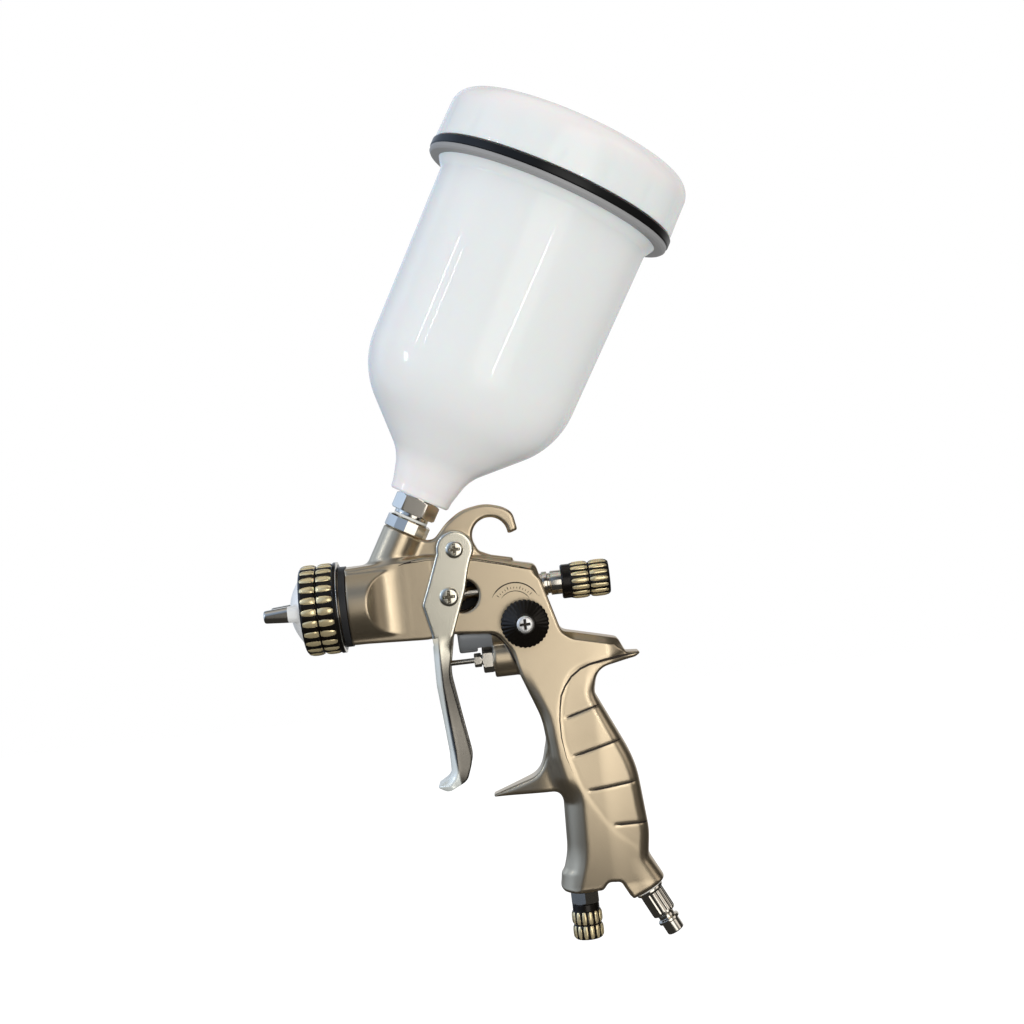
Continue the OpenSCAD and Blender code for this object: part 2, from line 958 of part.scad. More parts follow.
module cup_lid() {
    wall = 2;
    color(frost)
        on_inlet()
            translate([0, 0, cup_foot])
                rotate_extrude()
                    polygon(concat(
                        rounded([[3, lid_top - wall, 0], [mouth_r - 5.5, lid_top - wall - 1.2, 0],
                            [mouth_r - 5.5, cup_h + 1.6, 0], [lid_r - wall, cup_h + 1.6, 0],
                            [lid_r - wall, lid_foot, 0], [lid_r, lid_foot, 0], [lid_r - 0.4, lid_top - 1.5, 9],
                            [3, lid_top + 0.6, 0]])));
}

module lid_gasket() {
    color(seal_white)
        on_inlet()
            translate([0, 0, cup_foot])
                ring(mouth_r, mouth_r - 3.4, cup_h, cup_h + 1.4);
}

module lid_vent_plug() {
    color(frost)
        on_inlet()
            translate([0, 0, cup_foot]) {
                translate([0, 0, lid_top - 3.5])
                    cylinder(r = 3, h = 5);
                translate([0, 0, lid_top + 0.7])
                    cylinder(r = 4.2, h = 1.2);
            }
}

gun_body();
fluid_nozzle();
air_baffle();
cap_seal_ring();
air_cap();
air_cap_ring();
needle_packing();
needle_packing_nut();
fluid_needle();
needle_collar();
needle_guide();
needle_spring();
fluid_knob_bushing();
spring_pad();
fluid_knob();
trigger();
trigger_pin();
trigger_pin_clip();
needle_pusher_screws();
air_valve_stem();
valve_gland_nut();
stem_packing();
air_valve_nut();
valve_seat();
valve_poppet();
valve_spring();
fan_gland();
fan_spindle();
fan_spindle_seal();
fan_knob();
fan_knob_screw();
air_flow_bushing();
air_flow_plunger();
air_flow_seal();
air_flow_knob();
air_inlet_washer();
air_inlet_plug();
inlet_collar();
cup_seal_washer();
cup_connector();
paint_filter();
cup();
cup_ring();
cup_lid();
lid_gasket();
lid_vent_plug();
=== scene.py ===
"""Looks of the HVLP spray gun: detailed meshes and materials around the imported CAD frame.

Lengths in this file are millimetres, in the frame's own axes, until a mesh is written in metres.
Only the studio at the end, with its floor, lights and camera, is laid out in metres.
"""
import json
import math

import bmesh
import bpy
import numpy as np
import openvdb
from mathutils import Matrix, Vector
from mathutils.bvhtree import BVHTree


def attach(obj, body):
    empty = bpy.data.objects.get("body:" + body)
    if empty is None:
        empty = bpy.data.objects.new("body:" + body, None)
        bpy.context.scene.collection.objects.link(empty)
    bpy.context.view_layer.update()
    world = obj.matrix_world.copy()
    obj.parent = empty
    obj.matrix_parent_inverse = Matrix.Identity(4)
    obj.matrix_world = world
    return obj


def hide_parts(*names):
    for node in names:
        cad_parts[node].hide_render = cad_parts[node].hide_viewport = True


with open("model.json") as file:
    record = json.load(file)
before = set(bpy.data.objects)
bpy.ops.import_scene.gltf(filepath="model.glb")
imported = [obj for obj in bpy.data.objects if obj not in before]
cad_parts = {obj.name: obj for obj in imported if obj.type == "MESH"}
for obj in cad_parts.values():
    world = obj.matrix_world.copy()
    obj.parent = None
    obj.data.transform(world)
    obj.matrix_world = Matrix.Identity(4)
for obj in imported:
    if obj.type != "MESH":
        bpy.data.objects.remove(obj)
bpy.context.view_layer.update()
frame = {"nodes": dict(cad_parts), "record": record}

MM = 0.001
STEP = 0.38
FINE = 0.3

# ---- Places and sizes, in millimetres ----

BLOCK_HALF = 9.5
GRIP_HALF = 12.0
HOOK_HALF = 4.0
TUBE_R = 16.1
THREAD_R = 15.1
INLET_X = 34.3
INLET_R = 8.4
INLET_TOP = 31.7
LEAN = math.radians(30)
PIVOT = (70.0, 18.4)
PUSHER = (65.7, -0.3)
WINDOW = (71.0, -0.7)
WINDOW_R = 6.6
SLOT_X = 66.9
VALVE_Z = -28.0
FAN = (94.9, -14.4)
FLOW_X = 106.3
FLOW_Z = -125.9
PLUG_FOOT = (132.4, -128.0)
PLUG_LEAN = math.radians(26.5)
TRIGGER_HALF = 11.8
TRIGGER_FOOT_HALF = 9.0
SHEET = 1.8
CUP_FOOT = 49.5


# ---- Outlines and distance fields ----

def rounded(corners, steps=6):
    """Closed outline through (a, b, radius) corners, each rounded by an arc"""
    points = []
    count = len(corners)
    for i, corner in enumerate(corners):
        here = Vector(corner[:2])
        radius = corner[2] if len(corner) > 2 else 0
        if radius == 0:
            points.append(tuple(here))
            continue
        before = Vector(corners[i - 1][:2]) - here
        after = Vector(corners[(i + 1) % count][:2]) - here
        half = before.angle(after) / 2
        back = min(radius / math.tan(half), 0.49 * min(before.length, after.length))
        arc_r = back * math.tan(half)
        centre = here + (before.normalized() + after.normalized()).normalized() * (arc_r / math.sin(half))
        spoke = here + before.normalized() * back - centre
        turn = (math.pi - 2 * half) * (1 if before.x * after.y - before.y * after.x < 0 else -1)
        for k in range(steps + 1):
            a = math.atan2(spoke.y, spoke.x) + turn * k / steps
            points.append((centre.x + arc_r * math.cos(a), centre.y + arc_r * math.sin(a)))
    return points


def outline_distance(points, x, z):
    """Distance from a closed outline in the X-Z plane, negative inside, on a grid"""
    gx, gz = np.meshgrid(x, z, indexing="ij")
    nearest = np.full(gx.shape, 1e9, np.float32)
    inside = np.zeros(gx.shape, bool)
    for (ax, az), (bx, bz) in zip(points, points[1:] + points[:1]):
        ex, ez = bx - ax, bz - az
        t = np.clip(((gx - ax) * ex + (gz - az) * ez) / (ex * ex + ez * ez + 1e-12), 0, 1)
        nearest = np.minimum(nearest, (gx - ax - t * ex) ** 2 + (gz - az - t * ez) ** 2)
        if az != bz:
            inside ^= ((az > gz) != (bz > gz)) & (gx < (gz - az) / (bz - az) * ex + ax)
    return (np.sqrt(nearest) * np.where(inside, -1, 1)).astype(np.float32)


def line_distance(points, x, z):
    """Distance from an open line through the points in the X-Z plane, on a grid"""
    gx, gz = np.meshgrid(x, z, indexing="ij")
    nearest = np.full(gx.shape, 1e9, np.float32)
    for (ax, az), (bx, bz) in zip(points, points[1:]):
        ex, ez = bx - ax, bz - az
        t = np.clip(((gx - ax) * ex + (gz - az) * ez) / (ex * ex + ez * ez), 0, 1)
        nearest = np.minimum(nearest, (gx - ax - t * ex) ** 2 + (gz - az - t * ez) ** 2)
    return np.sqrt(nearest).astype(np.float32)


def meet(a, b, edge):
    """Where both are inside, with their shared edge rounded"""
    p, q = a + edge, b + edge
    return np.minimum(np.maximum(p, q), 0) + np.hypot(np.maximum(p, 0), np.maximum(q, 0)) - edge


def chamfered(a, b, cut):
    """Where both are inside, with their shared edge cut at 45 degrees"""
    return np.maximum(np.maximum(a, b), (a + b + cut) * math.sqrt(0.5))


def melt(a, b, reach):
    """Where either is inside, with a fillet between them"""
    h = np.clip(0.5 + 0.5 * (b - a) / reach, 0, 1)
    return b + (a - b) * h - reach * h * (1 - h)


def carve(a, b, reach=0.3):
    """a with b taken away, with a soft edge"""
    return -melt(-a, b, reach)


def ramp(low, high, value):
    """0 below low, 1 above high, smooth between"""
    t = np.clip((value - low) / (high - low), 0, 1)
    return t * t * (3 - 2 * t)


class Grid:
    """Half space y >= 0 on a regular grid; what is built there is mirrored"""

    def __init__(self, low, high, step):
        self.low, self.step = low, step
        self.xs, self.zs = (np.arange(low[i], high[i] + step, step, dtype=np.float32) for i in (0, 2))
        self.ys = np.arange(0, high[1] + step, step, dtype=np.float32)
        self.x = self.xs[:, None, None]
        self.y = self.ys[None, :, None]
        self.z = self.zs[None, None, :]

    def flat(self, corners):
        return outline_distance(rounded(corners), self.xs, self.zs)[:, None, :]

    def near(self, points):
        return line_distance(points, self.xs, self.zs)[:, None, :]

    def rod(self, radius, across, along, start, end, edge):
        """Rod whose radial distance is `across`, between two stations of `along`"""
        return meet(across - radius, np.abs(along - (start + end) / 2) - (end - start) / 2, edge)

    def rod_x(self, radius, start, end, z=0.0, edge=0.4):
        return self.rod(radius, np.hypot(self.y, self.z - z), self.x, start, end, edge)

    def rod_y(self, radius, at, half, edge):
        return self.rod(radius, np.hypot(self.x - at[0], self.z - at[1]), self.y, -half, half, edge)

    def rod_z(self, radius, x, start, end, edge):
        return self.rod(radius, np.hypot(self.x - x, self.y), self.z, start, end, edge)

    def inlet(self, forward=0.0):
        """(radial distance, station) about the cup's leaning axis, moved forward a little if asked"""
        along = (self.x - INLET_X) * math.sin(LEAN) + self.z * math.cos(LEAN)
        across = (self.x - INLET_X) * math.cos(LEAN) - self.z * math.sin(LEAN) + forward
        return np.hypot(across, self.y), along

    def plug(self):
        """(radial distance, station) about the air plug's axis"""
        dx, dz = self.x - PLUG_FOOT[0], self.z - PLUG_FOOT[1]
        along = dx * math.sin(PLUG_LEAN) - dz * math.cos(PLUG_LEAN)
        across = dx * math.cos(PLUG_LEAN) + dz * math.sin(PLUG_LEAN)
        return np.hypot(across, self.y), along

    def mesh(self, name, field, materials, pick, one_side=None):
        """Skin of the mirrored field; pick(x, y, z) gives each face's material from its centre,
        and one_side(field, x, y, z) may change the whole field"""
        full = np.concatenate([field[:, :0:-1, :], field], axis=1)
        ys = np.concatenate([-self.ys[:0:-1], self.ys])
        if one_side is not None:
            full = one_side(full, self.x, ys[None, :, None], self.z)
        full = softened(full)
        grid = openvdb.FloatGrid(background=9.0)
        grid.copyFromArray(np.ascontiguousarray(full, dtype=np.float32), tolerance=0.0)
        points, quads = grid.convertToQuads(isovalue=0.0)
        points = points * self.step + np.array([self.xs[0], ys[0], self.zs[0]])
        data = bpy.data.meshes.new(name)
        data.from_pydata((points * MM).tolist(), [], quads[:, ::-1].tolist())
        piece = add_piece(name, data, materials)
        if signed_volume(data) < 0:
            data.flip_normals()
        data.shade_smooth()
        centres = np.empty(len(data.polygons) * 3)
        data.polygons.foreach_get("center", centres)
        chosen = pick(*(centres.reshape(-1, 3).T / MM)).astype(np.int32)
        data.polygons.foreach_set("material_index", chosen)
        return piece


def softened(field):
    """Field averaged a little along each axis, which breaks hard edges"""
    for axis in range(3):
        field = 0.5 * field + 0.25 * (np.roll(field, 1, axis) + np.roll(field, -1, axis))
    return field


def signed_volume(data):
    corners = np.empty(len(data.vertices) * 3, np.float64)
    data.vertices.foreach_get("co", corners)
    corners = corners.reshape(-1, 3)
    data.calc_loop_triangles()
    triangles = np.empty(len(data.loop_triangles) * 3, np.int64)
    data.loop_triangles.foreach_get("vertices", triangles)
    a, b, c = corners[triangles.reshape(-1, 3)].transpose(1, 0, 2)
    return float((a * np.cross(b, c)).sum())


# ---- Turned pieces ----

# Angles in degrees over which an edge stays crisp
HEX_EDGE = 14
SOFT_EDGE = 32
CUP_EDGE = 40


def add_piece(name, data, materials):
    piece = bpy.data.objects.new(name, data)
    bpy.context.scene.collection.objects.link(piece)
    for material in materials:
        data.materials.append(material)
    return piece


def axis_frame(origin, direction):
    """Matrix that puts local +Z along direction at origin, with local X level where it can be"""
    forward = Vector(direction).normalized()
    side = Vector((0, 1, 0)).cross(forward)
    if side.length < 0.1:
        side = Vector((1, 0, 0))
    side.normalize()
    up = forward.cross(side)
    turn = Matrix((side, up, forward)).transposed().to_4x4()
    return Matrix.Translation(Vector(origin)) @ turn


def hex_shape(radius, angle):
    """Distance to the side of a hexagon of that corner radius"""
    sixth = math.pi / 3
    return radius * math.cos(sixth / 2) / math.cos(angle % sixth - sixth / 2)


def turned(bm, corners, place, segments, shape=None, index=0, steps=5):
    """Spins a closed (radius, station) outline; shape(radius, station, angle) may vary the radius"""
    outline = rounded(corners, steps)
    rings = []
    for radius, station in outline:
        if radius < 1e-4:
            rings.append([bm.verts.new(place @ Vector((0, 0, station)) * MM)])
            continue
        ring = []
        for k in range(segments):
            a = 2 * math.pi * k / segments
            r = shape(radius, station, a) if shape else radius
            ring.append(bm.verts.new(place @ Vector((r * math.cos(a), r * math.sin(a), station)) * MM))
        rings.append(ring)
    for lower, upper in zip(rings, rings[1:] + rings[:1]):
        if len(lower) == 1 and len(upper) == 1:
            continue
        for k in range(segments):
            n = (k + 1) % segments
            if len(lower) == 1:
                corner_set = (lower[0], upper[n], upper[k])
            elif len(upper) == 1:
                corner_set = (lower[k], lower[n], upper[0])
            else:
                corner_set = (lower[k], lower[n], upper[n], upper[k])
            face = bm.faces.new(corner_set)
            face.material_index = index
            face.smooth = True


def cap_grid(bm, grid, index_of):
    """Faces of a round patch whose first ring is one vertex; index_of(face) gives the material"""
    spokes = len(grid[1])
    for inner, outer in zip(grid, grid[1:]):
        for j in range(spokes):
            n = (j + 1) % spokes
            start = (inner[0],) if len(inner) == 1 else (inner[j],)
            end = () if len(inner) == 1 else (inner[n],)
            face = bm.faces.new(start + (outer[j], outer[n]) + end)
            face.material_index = index_of(face)
            face.smooth = True


def finish_mesh(name, bm, materials, sharp=SOFT_EDGE):
    """Turns bm into a piece whose edges over `sharp` degrees stay crisp"""
    bmesh.ops.recalc_face_normals(bm, faces=bm.faces)
    for edge in bm.edges:
        if len(edge.link_faces) == 2 and edge.calc_face_angle(0) > math.radians(sharp):
            edge.smooth = False
    data = bpy.data.meshes.new(name)
    bm.to_mesh(data)
    bm.free()
    return add_piece(name, data, materials)


def pads(bm, place, radius, start, end, count, width, height, taper):
    """Ring of crowned pads, in the second material; taper narrows them toward their end station"""
    rings, spokes = 4, 20
    middle, half = (start + end) / 2, abs(end - start) / 2
    toward = 1 if end > start else -1
    for k in range(count):
        base = 2 * math.pi * k / count
        grid = []
        for i in range(rings + 1):
            rho = i / rings
            ring = []
            for j in range(spokes if i else 1):
                a = 2 * math.pi * j / spokes
                along = rho * math.copysign(abs(math.sin(a)) ** 0.6, math.sin(a)) if i else 0
                aside = rho * math.copysign(abs(math.cos(a)) ** 0.6, math.cos(a)) if i else 0
                narrow = 1 - taper * (along + 1) / 2
                swell = height * (1 - rho ** 3) - (0.12 if i == rings else 0)
                angle = base + aside * width * narrow / 2 / radius
                reach = radius + swell
                station = middle + toward * along * half
                spot = Vector((reach * math.cos(angle), reach * math.sin(angle), station))
                ring.append(bm.verts.new(place @ spot * MM))
            grid.append(ring)
        cap_grid(bm, grid, lambda face: 1)


# ---- Materials ----

class Wiring:
    """A node tree with a short way to add a node, set it up and feed its sockets"""

    def __init__(self, tree):
        self.tree = tree

    def feed(self, socket, value):
        if isinstance(value, bpy.types.NodeSocket):
            self.tree.links.new(value, socket)
        else:
            socket.default_value = value

    def add(self, kind, inputs, **settings):
        node = self.tree.nodes.new("ShaderNode" + kind)
        for key, value in settings.items():
            setattr(node, key, value)
        for key, value in inputs.items():
            self.feed(node.inputs[key], value)
        return node

    def maths(self, operation, a, b):
        return self.add("Math", {0: a, 1: b}, operation=operation).outputs["Value"]

    def smooth(self, value, start, end, low=0.0, high=1.0):
        limits = {"Value": value, "From Min": start, "From Max": end, "To Min": low, "To Max": high}
        return self.add("MapRange", limits, interpolation_type="SMOOTHSTEP").outputs["Result"]

    def mixed(self, factor, first, second):
        return self.add("Mix", {"Factor": factor, 6: first, 7: second}, data_type="RGBA").outputs[2]


def principled(name):
    material = bpy.data.materials.new(name)
    material.use_nodes = True
    return material, Wiring(material.node_tree), material.node_tree.nodes["Principled BSDF"]


def surface(name, base, metallic, roughness, grain, bump, uneven=0.06, shift=0.05, **sockets):
    """Material with mottled colour and roughness and a fine bump, all procedural"""
    material, wiring, shader = principled(name)
    shader.inputs["Metallic"].default_value = metallic
    for key, value in sockets.items():
        shader.inputs[key.replace("_", " ")].default_value = value
    place = wiring.add("TexCoord", {}).outputs["Object"]
    broad = wiring.add("TexNoise", {"Vector": place, "Scale": grain / 12, "Detail": 4}).outputs["Fac"]
    fine = wiring.add("TexNoise", {"Vector": place, "Scale": grain * 6, "Detail": 2}).outputs["Fac"]
    darker = [c * (1 - shift) for c in base] + [1]
    lighter = [min(1, c * (1 + shift)) for c in base] + [1]
    wiring.feed(shader.inputs["Base Color"], wiring.mixed(broad, darker, lighter))
    spread = {"Value": broad, "To Min": max(0.02, roughness - uneven), "To Max": roughness + uneven}
    wiring.feed(shader.inputs["Roughness"], wiring.add("MapRange", spread).outputs["Result"])
    relief = wiring.add("Bump", {"Height": fine, "Strength": bump, "Distance": 0.0002})
    wiring.feed(shader.inputs["Normal"], relief.outputs["Normal"])
    return material


def lever_shading(material, cheek_colour, highlight_colour, highlight_metal):
    """Painted shade and highlight: the flanks start in the cheek's colour and darken downwards as painted
    shade; the front edge is a bright strip of painted highlight
    """
    wiring = Wiring(material.node_tree)
    shader = material.node_tree.nodes["Principled BSDF"]
    own = shader.inputs["Base Color"].links[0].from_socket
    place = wiring.add("TexCoord", {}).outputs["Object"]
    split = wiring.add("SeparateXYZ", {"Vector": place})
    x, z = split.outputs["X"], split.outputs["Z"]

    # Distance behind the lever's front edge, which bows back above and below its middle
    low = wiring.maths("ADD", z, 33 * MM)
    bow = wiring.maths("MULTIPLY", wiring.maths("MULTIPLY", low, low), 0.0015 / MM)
    front = wiring.maths("SUBTRACT", wiring.maths("SUBTRACT", x, 56.6 * MM), bow)
    strip_start, strip_end = 1.9 * MM, 2.9 * MM
    shaded_flank = wiring.mixed(wiring.smooth(z, -17 * MM, -33 * MM), (*cheek_colour, 1), own)
    strip = wiring.mixed(wiring.smooth(z, -17 * MM, -20 * MM), (*cheek_colour, 1), (*highlight_colour, 1))
    is_flank = wiring.smooth(front, strip_start, strip_end)
    wiring.feed(shader.inputs["Base Color"], wiring.mixed(is_flank, strip, shaded_flank))
    wiring.feed(shader.inputs["Metallic"], wiring.smooth(front, strip_start, strip_end, highlight_metal, 1.0))


champagne = surface("satin_champagne", (0.66, 0.54, 0.375), 0.95, 0.30, grain=500, bump=0.10, uneven=0.03)
# Grey copy of the casting for the gallery under the block, a painted reflection of the light it gets from
# below
gallery_reflection_grey = surface("gallery_painted_reflection", (0.25, 0.26, 0.27), 0.5, 0.30, grain=500, bump=0.10, uneven=0.03)
bore_shadow = surface("dark_bore", (0.010, 0.009, 0.008), 0.2, 0.6, grain=500, bump=0.05)
nickel = surface("satin_nickel", (0.90, 0.85, 0.71), 1.0, 0.22, grain=300, bump=0.06, uneven=0.06)
chrome = surface("bright_nickel", (0.80, 0.75, 0.66), 1.0, 0.14, grain=300, bump=0.02, uneven=0.03)
# Lever material: its dark base is painted shade on the flanks, with a painted highlight strip along the front
# edge
lever_painted_shade = surface("lever_nickel_painted_shade", (0.20, 0.185, 0.16), 1.0, 0.26, grain=300, bump=0.05, uneven=0.08)
lever_shading(lever_painted_shade, (0.88, 0.83, 0.69), (0.74, 0.77, 0.73), 0.4)
white_nickel = surface("white_nickel", (0.92, 0.90, 0.86), 0.8, 0.42, grain=300, bump=0.02, uneven=0.03)
turned_alloy = surface("turned_alloy", (0.80, 0.81, 0.82), 1.0, 0.26, grain=300, bump=0.03)
cap_alloy = surface("frosted_alloy", (0.90, 0.90, 0.88), 0.4, 0.40, grain=300, bump=0.03)
black_metal = surface("black_anodised", (0.013, 0.010, 0.007), 0.5, 0.24, grain=400, bump=0.04, uneven=0.05)
gold = surface("cut_brass", (0.98, 0.80, 0.46), 0.72, 0.22, grain=600, bump=0.05, uneven=0.08)
black_plastic = surface("black_plastic", (0.018, 0.018, 0.019), 0.0, 0.42, grain=600, bump=0.08)
ring_plastic = surface("black_ring", (0.008, 0.008, 0.008), 0.0, 0.30, grain=500, bump=0.04,
                       Specular_IOR_Level=0.25)
grey_plastic = surface("grey_ring", (0.25, 0.25, 0.25), 0.0, 0.45, grain=500, bump=0.04)
frosted = surface("white_nylon", (0.79, 0.77, 0.76), 0.0, 0.34, grain=120, bump=0.01, uneven=0.03,
                  shift=0.015, Subsurface_Weight=0.3, Subsurface_Scale=0.006, Coat_Weight=0.7,
                  Coat_Roughness=0.045, Specular_IOR_Level=0.15)
white_seal = surface("white_seal", (0.78, 0.78, 0.74), 0.0, 0.45, grain=400, bump=0.05)
soft_rubber = surface("black_rubber", (0.009, 0.009, 0.009), 0.0, 0.6, grain=500, bump=0.15)
bright_brass = surface("bright_brass", (0.80, 0.62, 0.33), 1.0, 0.24, grain=400, bump=0.04)
spring_wire = surface("spring_wire", (0.58, 0.58, 0.60), 1.0, 0.25, grain=400, bump=0.04)
shade = surface("recess_shade", (0.22, 0.19, 0.14), 0.9, 0.35, grain=300, bump=0.04)
# Dark ink for the scale marks, also laid as painted shade in grooves, creases and the fan screw's recess
ink_and_painted_shade = surface("scale_ink_and_painted_shade", (0.030, 0.020, 0.012), 0.3, 0.5, grain=500, bump=0.02)

NODE_FINISH = {
    "body_metal": champagne, "trigger_metal": nickel, "bright_metal": chrome, "cap_metal": turned_alloy,
    "black_metal": black_metal, "black_plastic": black_plastic, "brass": bright_brass,
    "spring_steel": spring_wire, "seal": white_seal, "rubber": soft_rubber, "cup_plastic": frosted,
}


def dress_frame():
    """Gives every CAD node the finish of its slot"""
    slots = {part["node"]: part["material_slot"] for part in frame["record"]["subparts"]}
    for node, piece in frame["nodes"].items():
        piece.data.materials.clear()
        piece.data.materials.append(NODE_FINISH[slots[node]])


def stand_for(piece, body, slot, *nodes):
    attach(piece, body)
    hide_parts(*nodes)


def spun(name, materials, sharp, body, slot, node, *spins):
    """Turned piece that stands for a CAD node; each spin is what turned() takes after bm"""
    bm = bmesh.new()
    for spin in spins:
        turned(bm, *spin)
    stand_for(finish_mesh(name, bm, materials, sharp), body, slot, node)


# ---- Gun body ----

BODY = [(24, 15.4, 0), (58, 17, 14), (78, 14.4, 40), (101.8, 8.6, 3), (104.2, -1, 8), (109.2, -19.4, 3),
        (131.6, -25.0, 2), (134.3, -31.0, 0.8), (141, -31.5, 0.5), (138, -33.5, 3), (122, -36.2, 8),
        (119.6, -45.6, 6), (133.2, -75.5, 45), (135.5, -104, 30), (134.1, -114.5, 4), (139.2, -124.2, 1),
        (125.8, -131, 1), (121.5, -123.2, 2), (116.6, -122.8, 2), (114, -125.8, 2), (104, -125.9, 8),
        (97, -124.3, 1.5), (101.5, -110, 30), (102.3, -88, 20), (98.6, -70, 20), (97.2, -54, 30),
        (90.6, -35.6, 2), (88.3, -25, 8), (83, -17.4, 6), (66, -15.7, 20), (55, -16.8, 20), (24, -15.3, 0)]
# The same outline with the two legs running on below their ends, for the soft edges
LONG_BODY = BODY[:15] + [(146, -137, 0), (93, -137, 0)] + BODY[22:]
CREASE = [(140, -28, 0), (125, -33.4, 20), (111, -34.4, 14), (104.6, -50, 26), (104.6, -64, 20),
          (110, -84, 40), (120, -101, 40), (134, -114, 20), (150, -118, 0), (150, -28, 0)]
GRIP_GROOVES = [((107, -54.3), (122.5, -50)), ((108.4, -70), (130, -65)), ((113, -84.6), (134, -82.9)),
                ((122, -99.6), (138, -100.4))]


def body_side(g):
    """Half width of the casting over its outline"""
    into_grip = ramp(-19, -62, g.z) * ramp(138, 118, g.x)
    into_foot = np.clip((-70 - g.z) / 54, 0, 1) ** 2
    half = BLOCK_HALF + (GRIP_HALF - BLOCK_HALF) * into_grip - 2.2 * into_foot
    half = half - 2.6 * ramp(126, 137, g.x) * ramp(-45, -38, g.z)
    fade = 1 - 0.75 * ramp(-45, -100, g.z)
    panel = g.flat(CREASE)
    sunk = 0.35 * ramp(0.3, -1.0, panel) * ramp(-24, -3, panel)
    seam = 0.15 * np.exp(-(panel / 0.75) ** 2)
    half = half - fade * (sunk + seam)
    for start, end in GRIP_GROOVES:
        half = half - 0.30 * np.exp(-(g.near([start, end]) / 0.5) ** 2)
    return half


def body_field(g):
    outline = g.flat(BODY)
    side = g.y - body_side(g)
    spur_edge = ramp(-31, -27, g.z) * ramp(108, 114, g.x)
    top_edge = ramp(2, 6, g.z) * (0.3 + 1.3 * ramp(80, 101, g.x))
    block = chamfered(outline, side, 0.7 + top_edge + 2.0 * spur_edge)
    long_outline = g.flat(LONG_BODY)
    grip = meet(long_outline, side, 4.6)
    leg = 0.7 * meet(long_outline, side, 9.5) + 0.3 * chamfered(long_outline, side, 7.5)
    into_leg = ramp(-78, -90, g.z) * ramp(116, 106, g.x)
    grip = grip + (leg - grip) * into_leg
    grip = np.maximum(grip, chamfered(outline, side, 0.9))
    into_grip = ramp(-31, -52, g.z)
    field = block + (grip - block) * into_grip

    # Front tube, hollowed at its sides where the flat block begins
    tube = g.rod_x(TUBE_R, 24.5, 50, edge=0.5)
    scallop_r, scallop_end = 15, 45.4
    scallop = np.hypot(g.x - scallop_end, g.y - BLOCK_HALF - scallop_r) - scallop_r
    beyond = np.maximum(scallop_end - g.x, BLOCK_HALF - g.y)
    tube = carve(tube, np.minimum(scallop, beyond), 0.35)
    front = np.maximum(field, np.maximum(g.x - 60, 24.5 - g.x))
    field = np.where(g.x < 60, melt(front, tube, 0.05 + 0.75 * ramp(47, 40, g.x)), field)
    field = np.minimum(field, g.rod_x(THREAD_R, 12, 25))

    # Hook and the web between it and the paint inlet
    eye_x, eye_z, eye_r = 84.8, 22.4, 7.3
    turns = [math.radians(a) for a in range(0, 206, 8)]
    inner = [(eye_x + eye_r * math.cos(a), eye_z + eye_r * math.sin(a), 0) for a in turns]
    hook = g.flat([(44, 8, 0), (50, 22, 0), (54.5, 25.4, 1), (58, 23.3, 6), (62, 23.4, 4), (67.4, 29.3, 20),
                   (74, 34, 20), (84, 35.6, 30), (91.4, 33.4, 20), (95, 30.6, 5), (96.3, 23.4, 0.8),
                   (93.3, 22.4, 0.5)] + inner + [(79.4, 16.6, 3), (84, 14.4, 8), (93, 12.2, 0), (93, 8, 0)])
    field = melt(field, chamfered(hook, g.y - HOOK_HALF, 0.8), 0.9)
    field = np.minimum(field, g.rod_y(7.2, PIVOT, BLOCK_HALF, 0.5))

    # Paint inlet, air valve boss and the round air gallery ahead of it
    across, along = g.inlet(0.5)
    field = melt(field, g.rod(INLET_R, across, along, 6, INLET_TOP, 0.5), 2.2)
    field = melt(field, g.rod_x(7.8, 80.5, 96, VALVE_Z, 0.7), 0.8)
    field = melt(field, g.rod_x(7.5, 67, 90, -17, 0.6), 0.5)

    # Finger rest and the leg of the air inlet
    rest = g.flat([(74.2, -83, 0.8), (94, -76.4, 9), (98.7, -64, 10), (108, -64, 0), (109, -88, 0),
                   (106.5, -88, 0), (101, -84.2, 8), (74.2, -84, 0.8)])
    width = 4.5 + 3.0 * ramp(76, 98, g.x)
    field = melt(field, meet(rest, g.y - width, 1.6), 3.5)
    across, along = g.plug()
    field = melt(field, g.rod(7.7, across, along, -16, 0, 0.8), 2.0)
    field = melt(field, g.rod_z(8.0, FLOW_X, FLOW_Z, FLOW_Z + 8, 0.8), 2.0)
    return bored(g, field)


def bored(g, field):
    """Bores that open to the outside, as in the CAD body"""
    for radius, start, end in ((12, 9, 22), (6, 20, 28.5), (3, 27, 47), (3.25, 46, 63), (2.75, 75, 83),
                               (4.5, 82, 112), (5.3, 103.6, 120)):
        field = carve(field, g.rod_x(radius, start, end, edge=0))
    for radius, start, end in ((5.7, 78, 92), (5.1, 91, 115)):
        field = carve(field, g.rod_x(radius, start, end, VALVE_Z, 0))
    slot = np.hypot(np.maximum(np.abs(g.x - SLOT_X) - 2.3, 0), g.z - WINDOW[1]) - 3.2
    field = carve(field, slot, 0.4)
    field = carve(field, g.rod_x(6.8, 74.5, 80.5, VALVE_Z, 0), 0.2)
    across, along = g.inlet()
    field = carve(field, g.rod(5.75, across, along, 29, 40, 0))
    field = carve(field, g.rod(4.2, across, along, 0, 30, 0))
    across, along = g.plug()
    field = carve(field, g.rod(4.6, across, along, -12, 10, 0))
    field = carve(field, g.rod_z(3.5, FLOW_X, -140, -103, 0))
    return carve(field, g.rod_y(2.6, PIVOT, 20, 0))


def side_bores(field, x, y, z):
    """Bore for the fan spindle and the round window, both on the knob's side only"""
    spindle = np.maximum(np.hypot(x - FAN[0], z - FAN[1]) - 4.1, y - 5)
    window = np.maximum(np.hypot(x - WINDOW[0], z - WINDOW[1]) - WINDOW_R, y - 4)
    return carve(carve(field, spindle), window, 0.5)


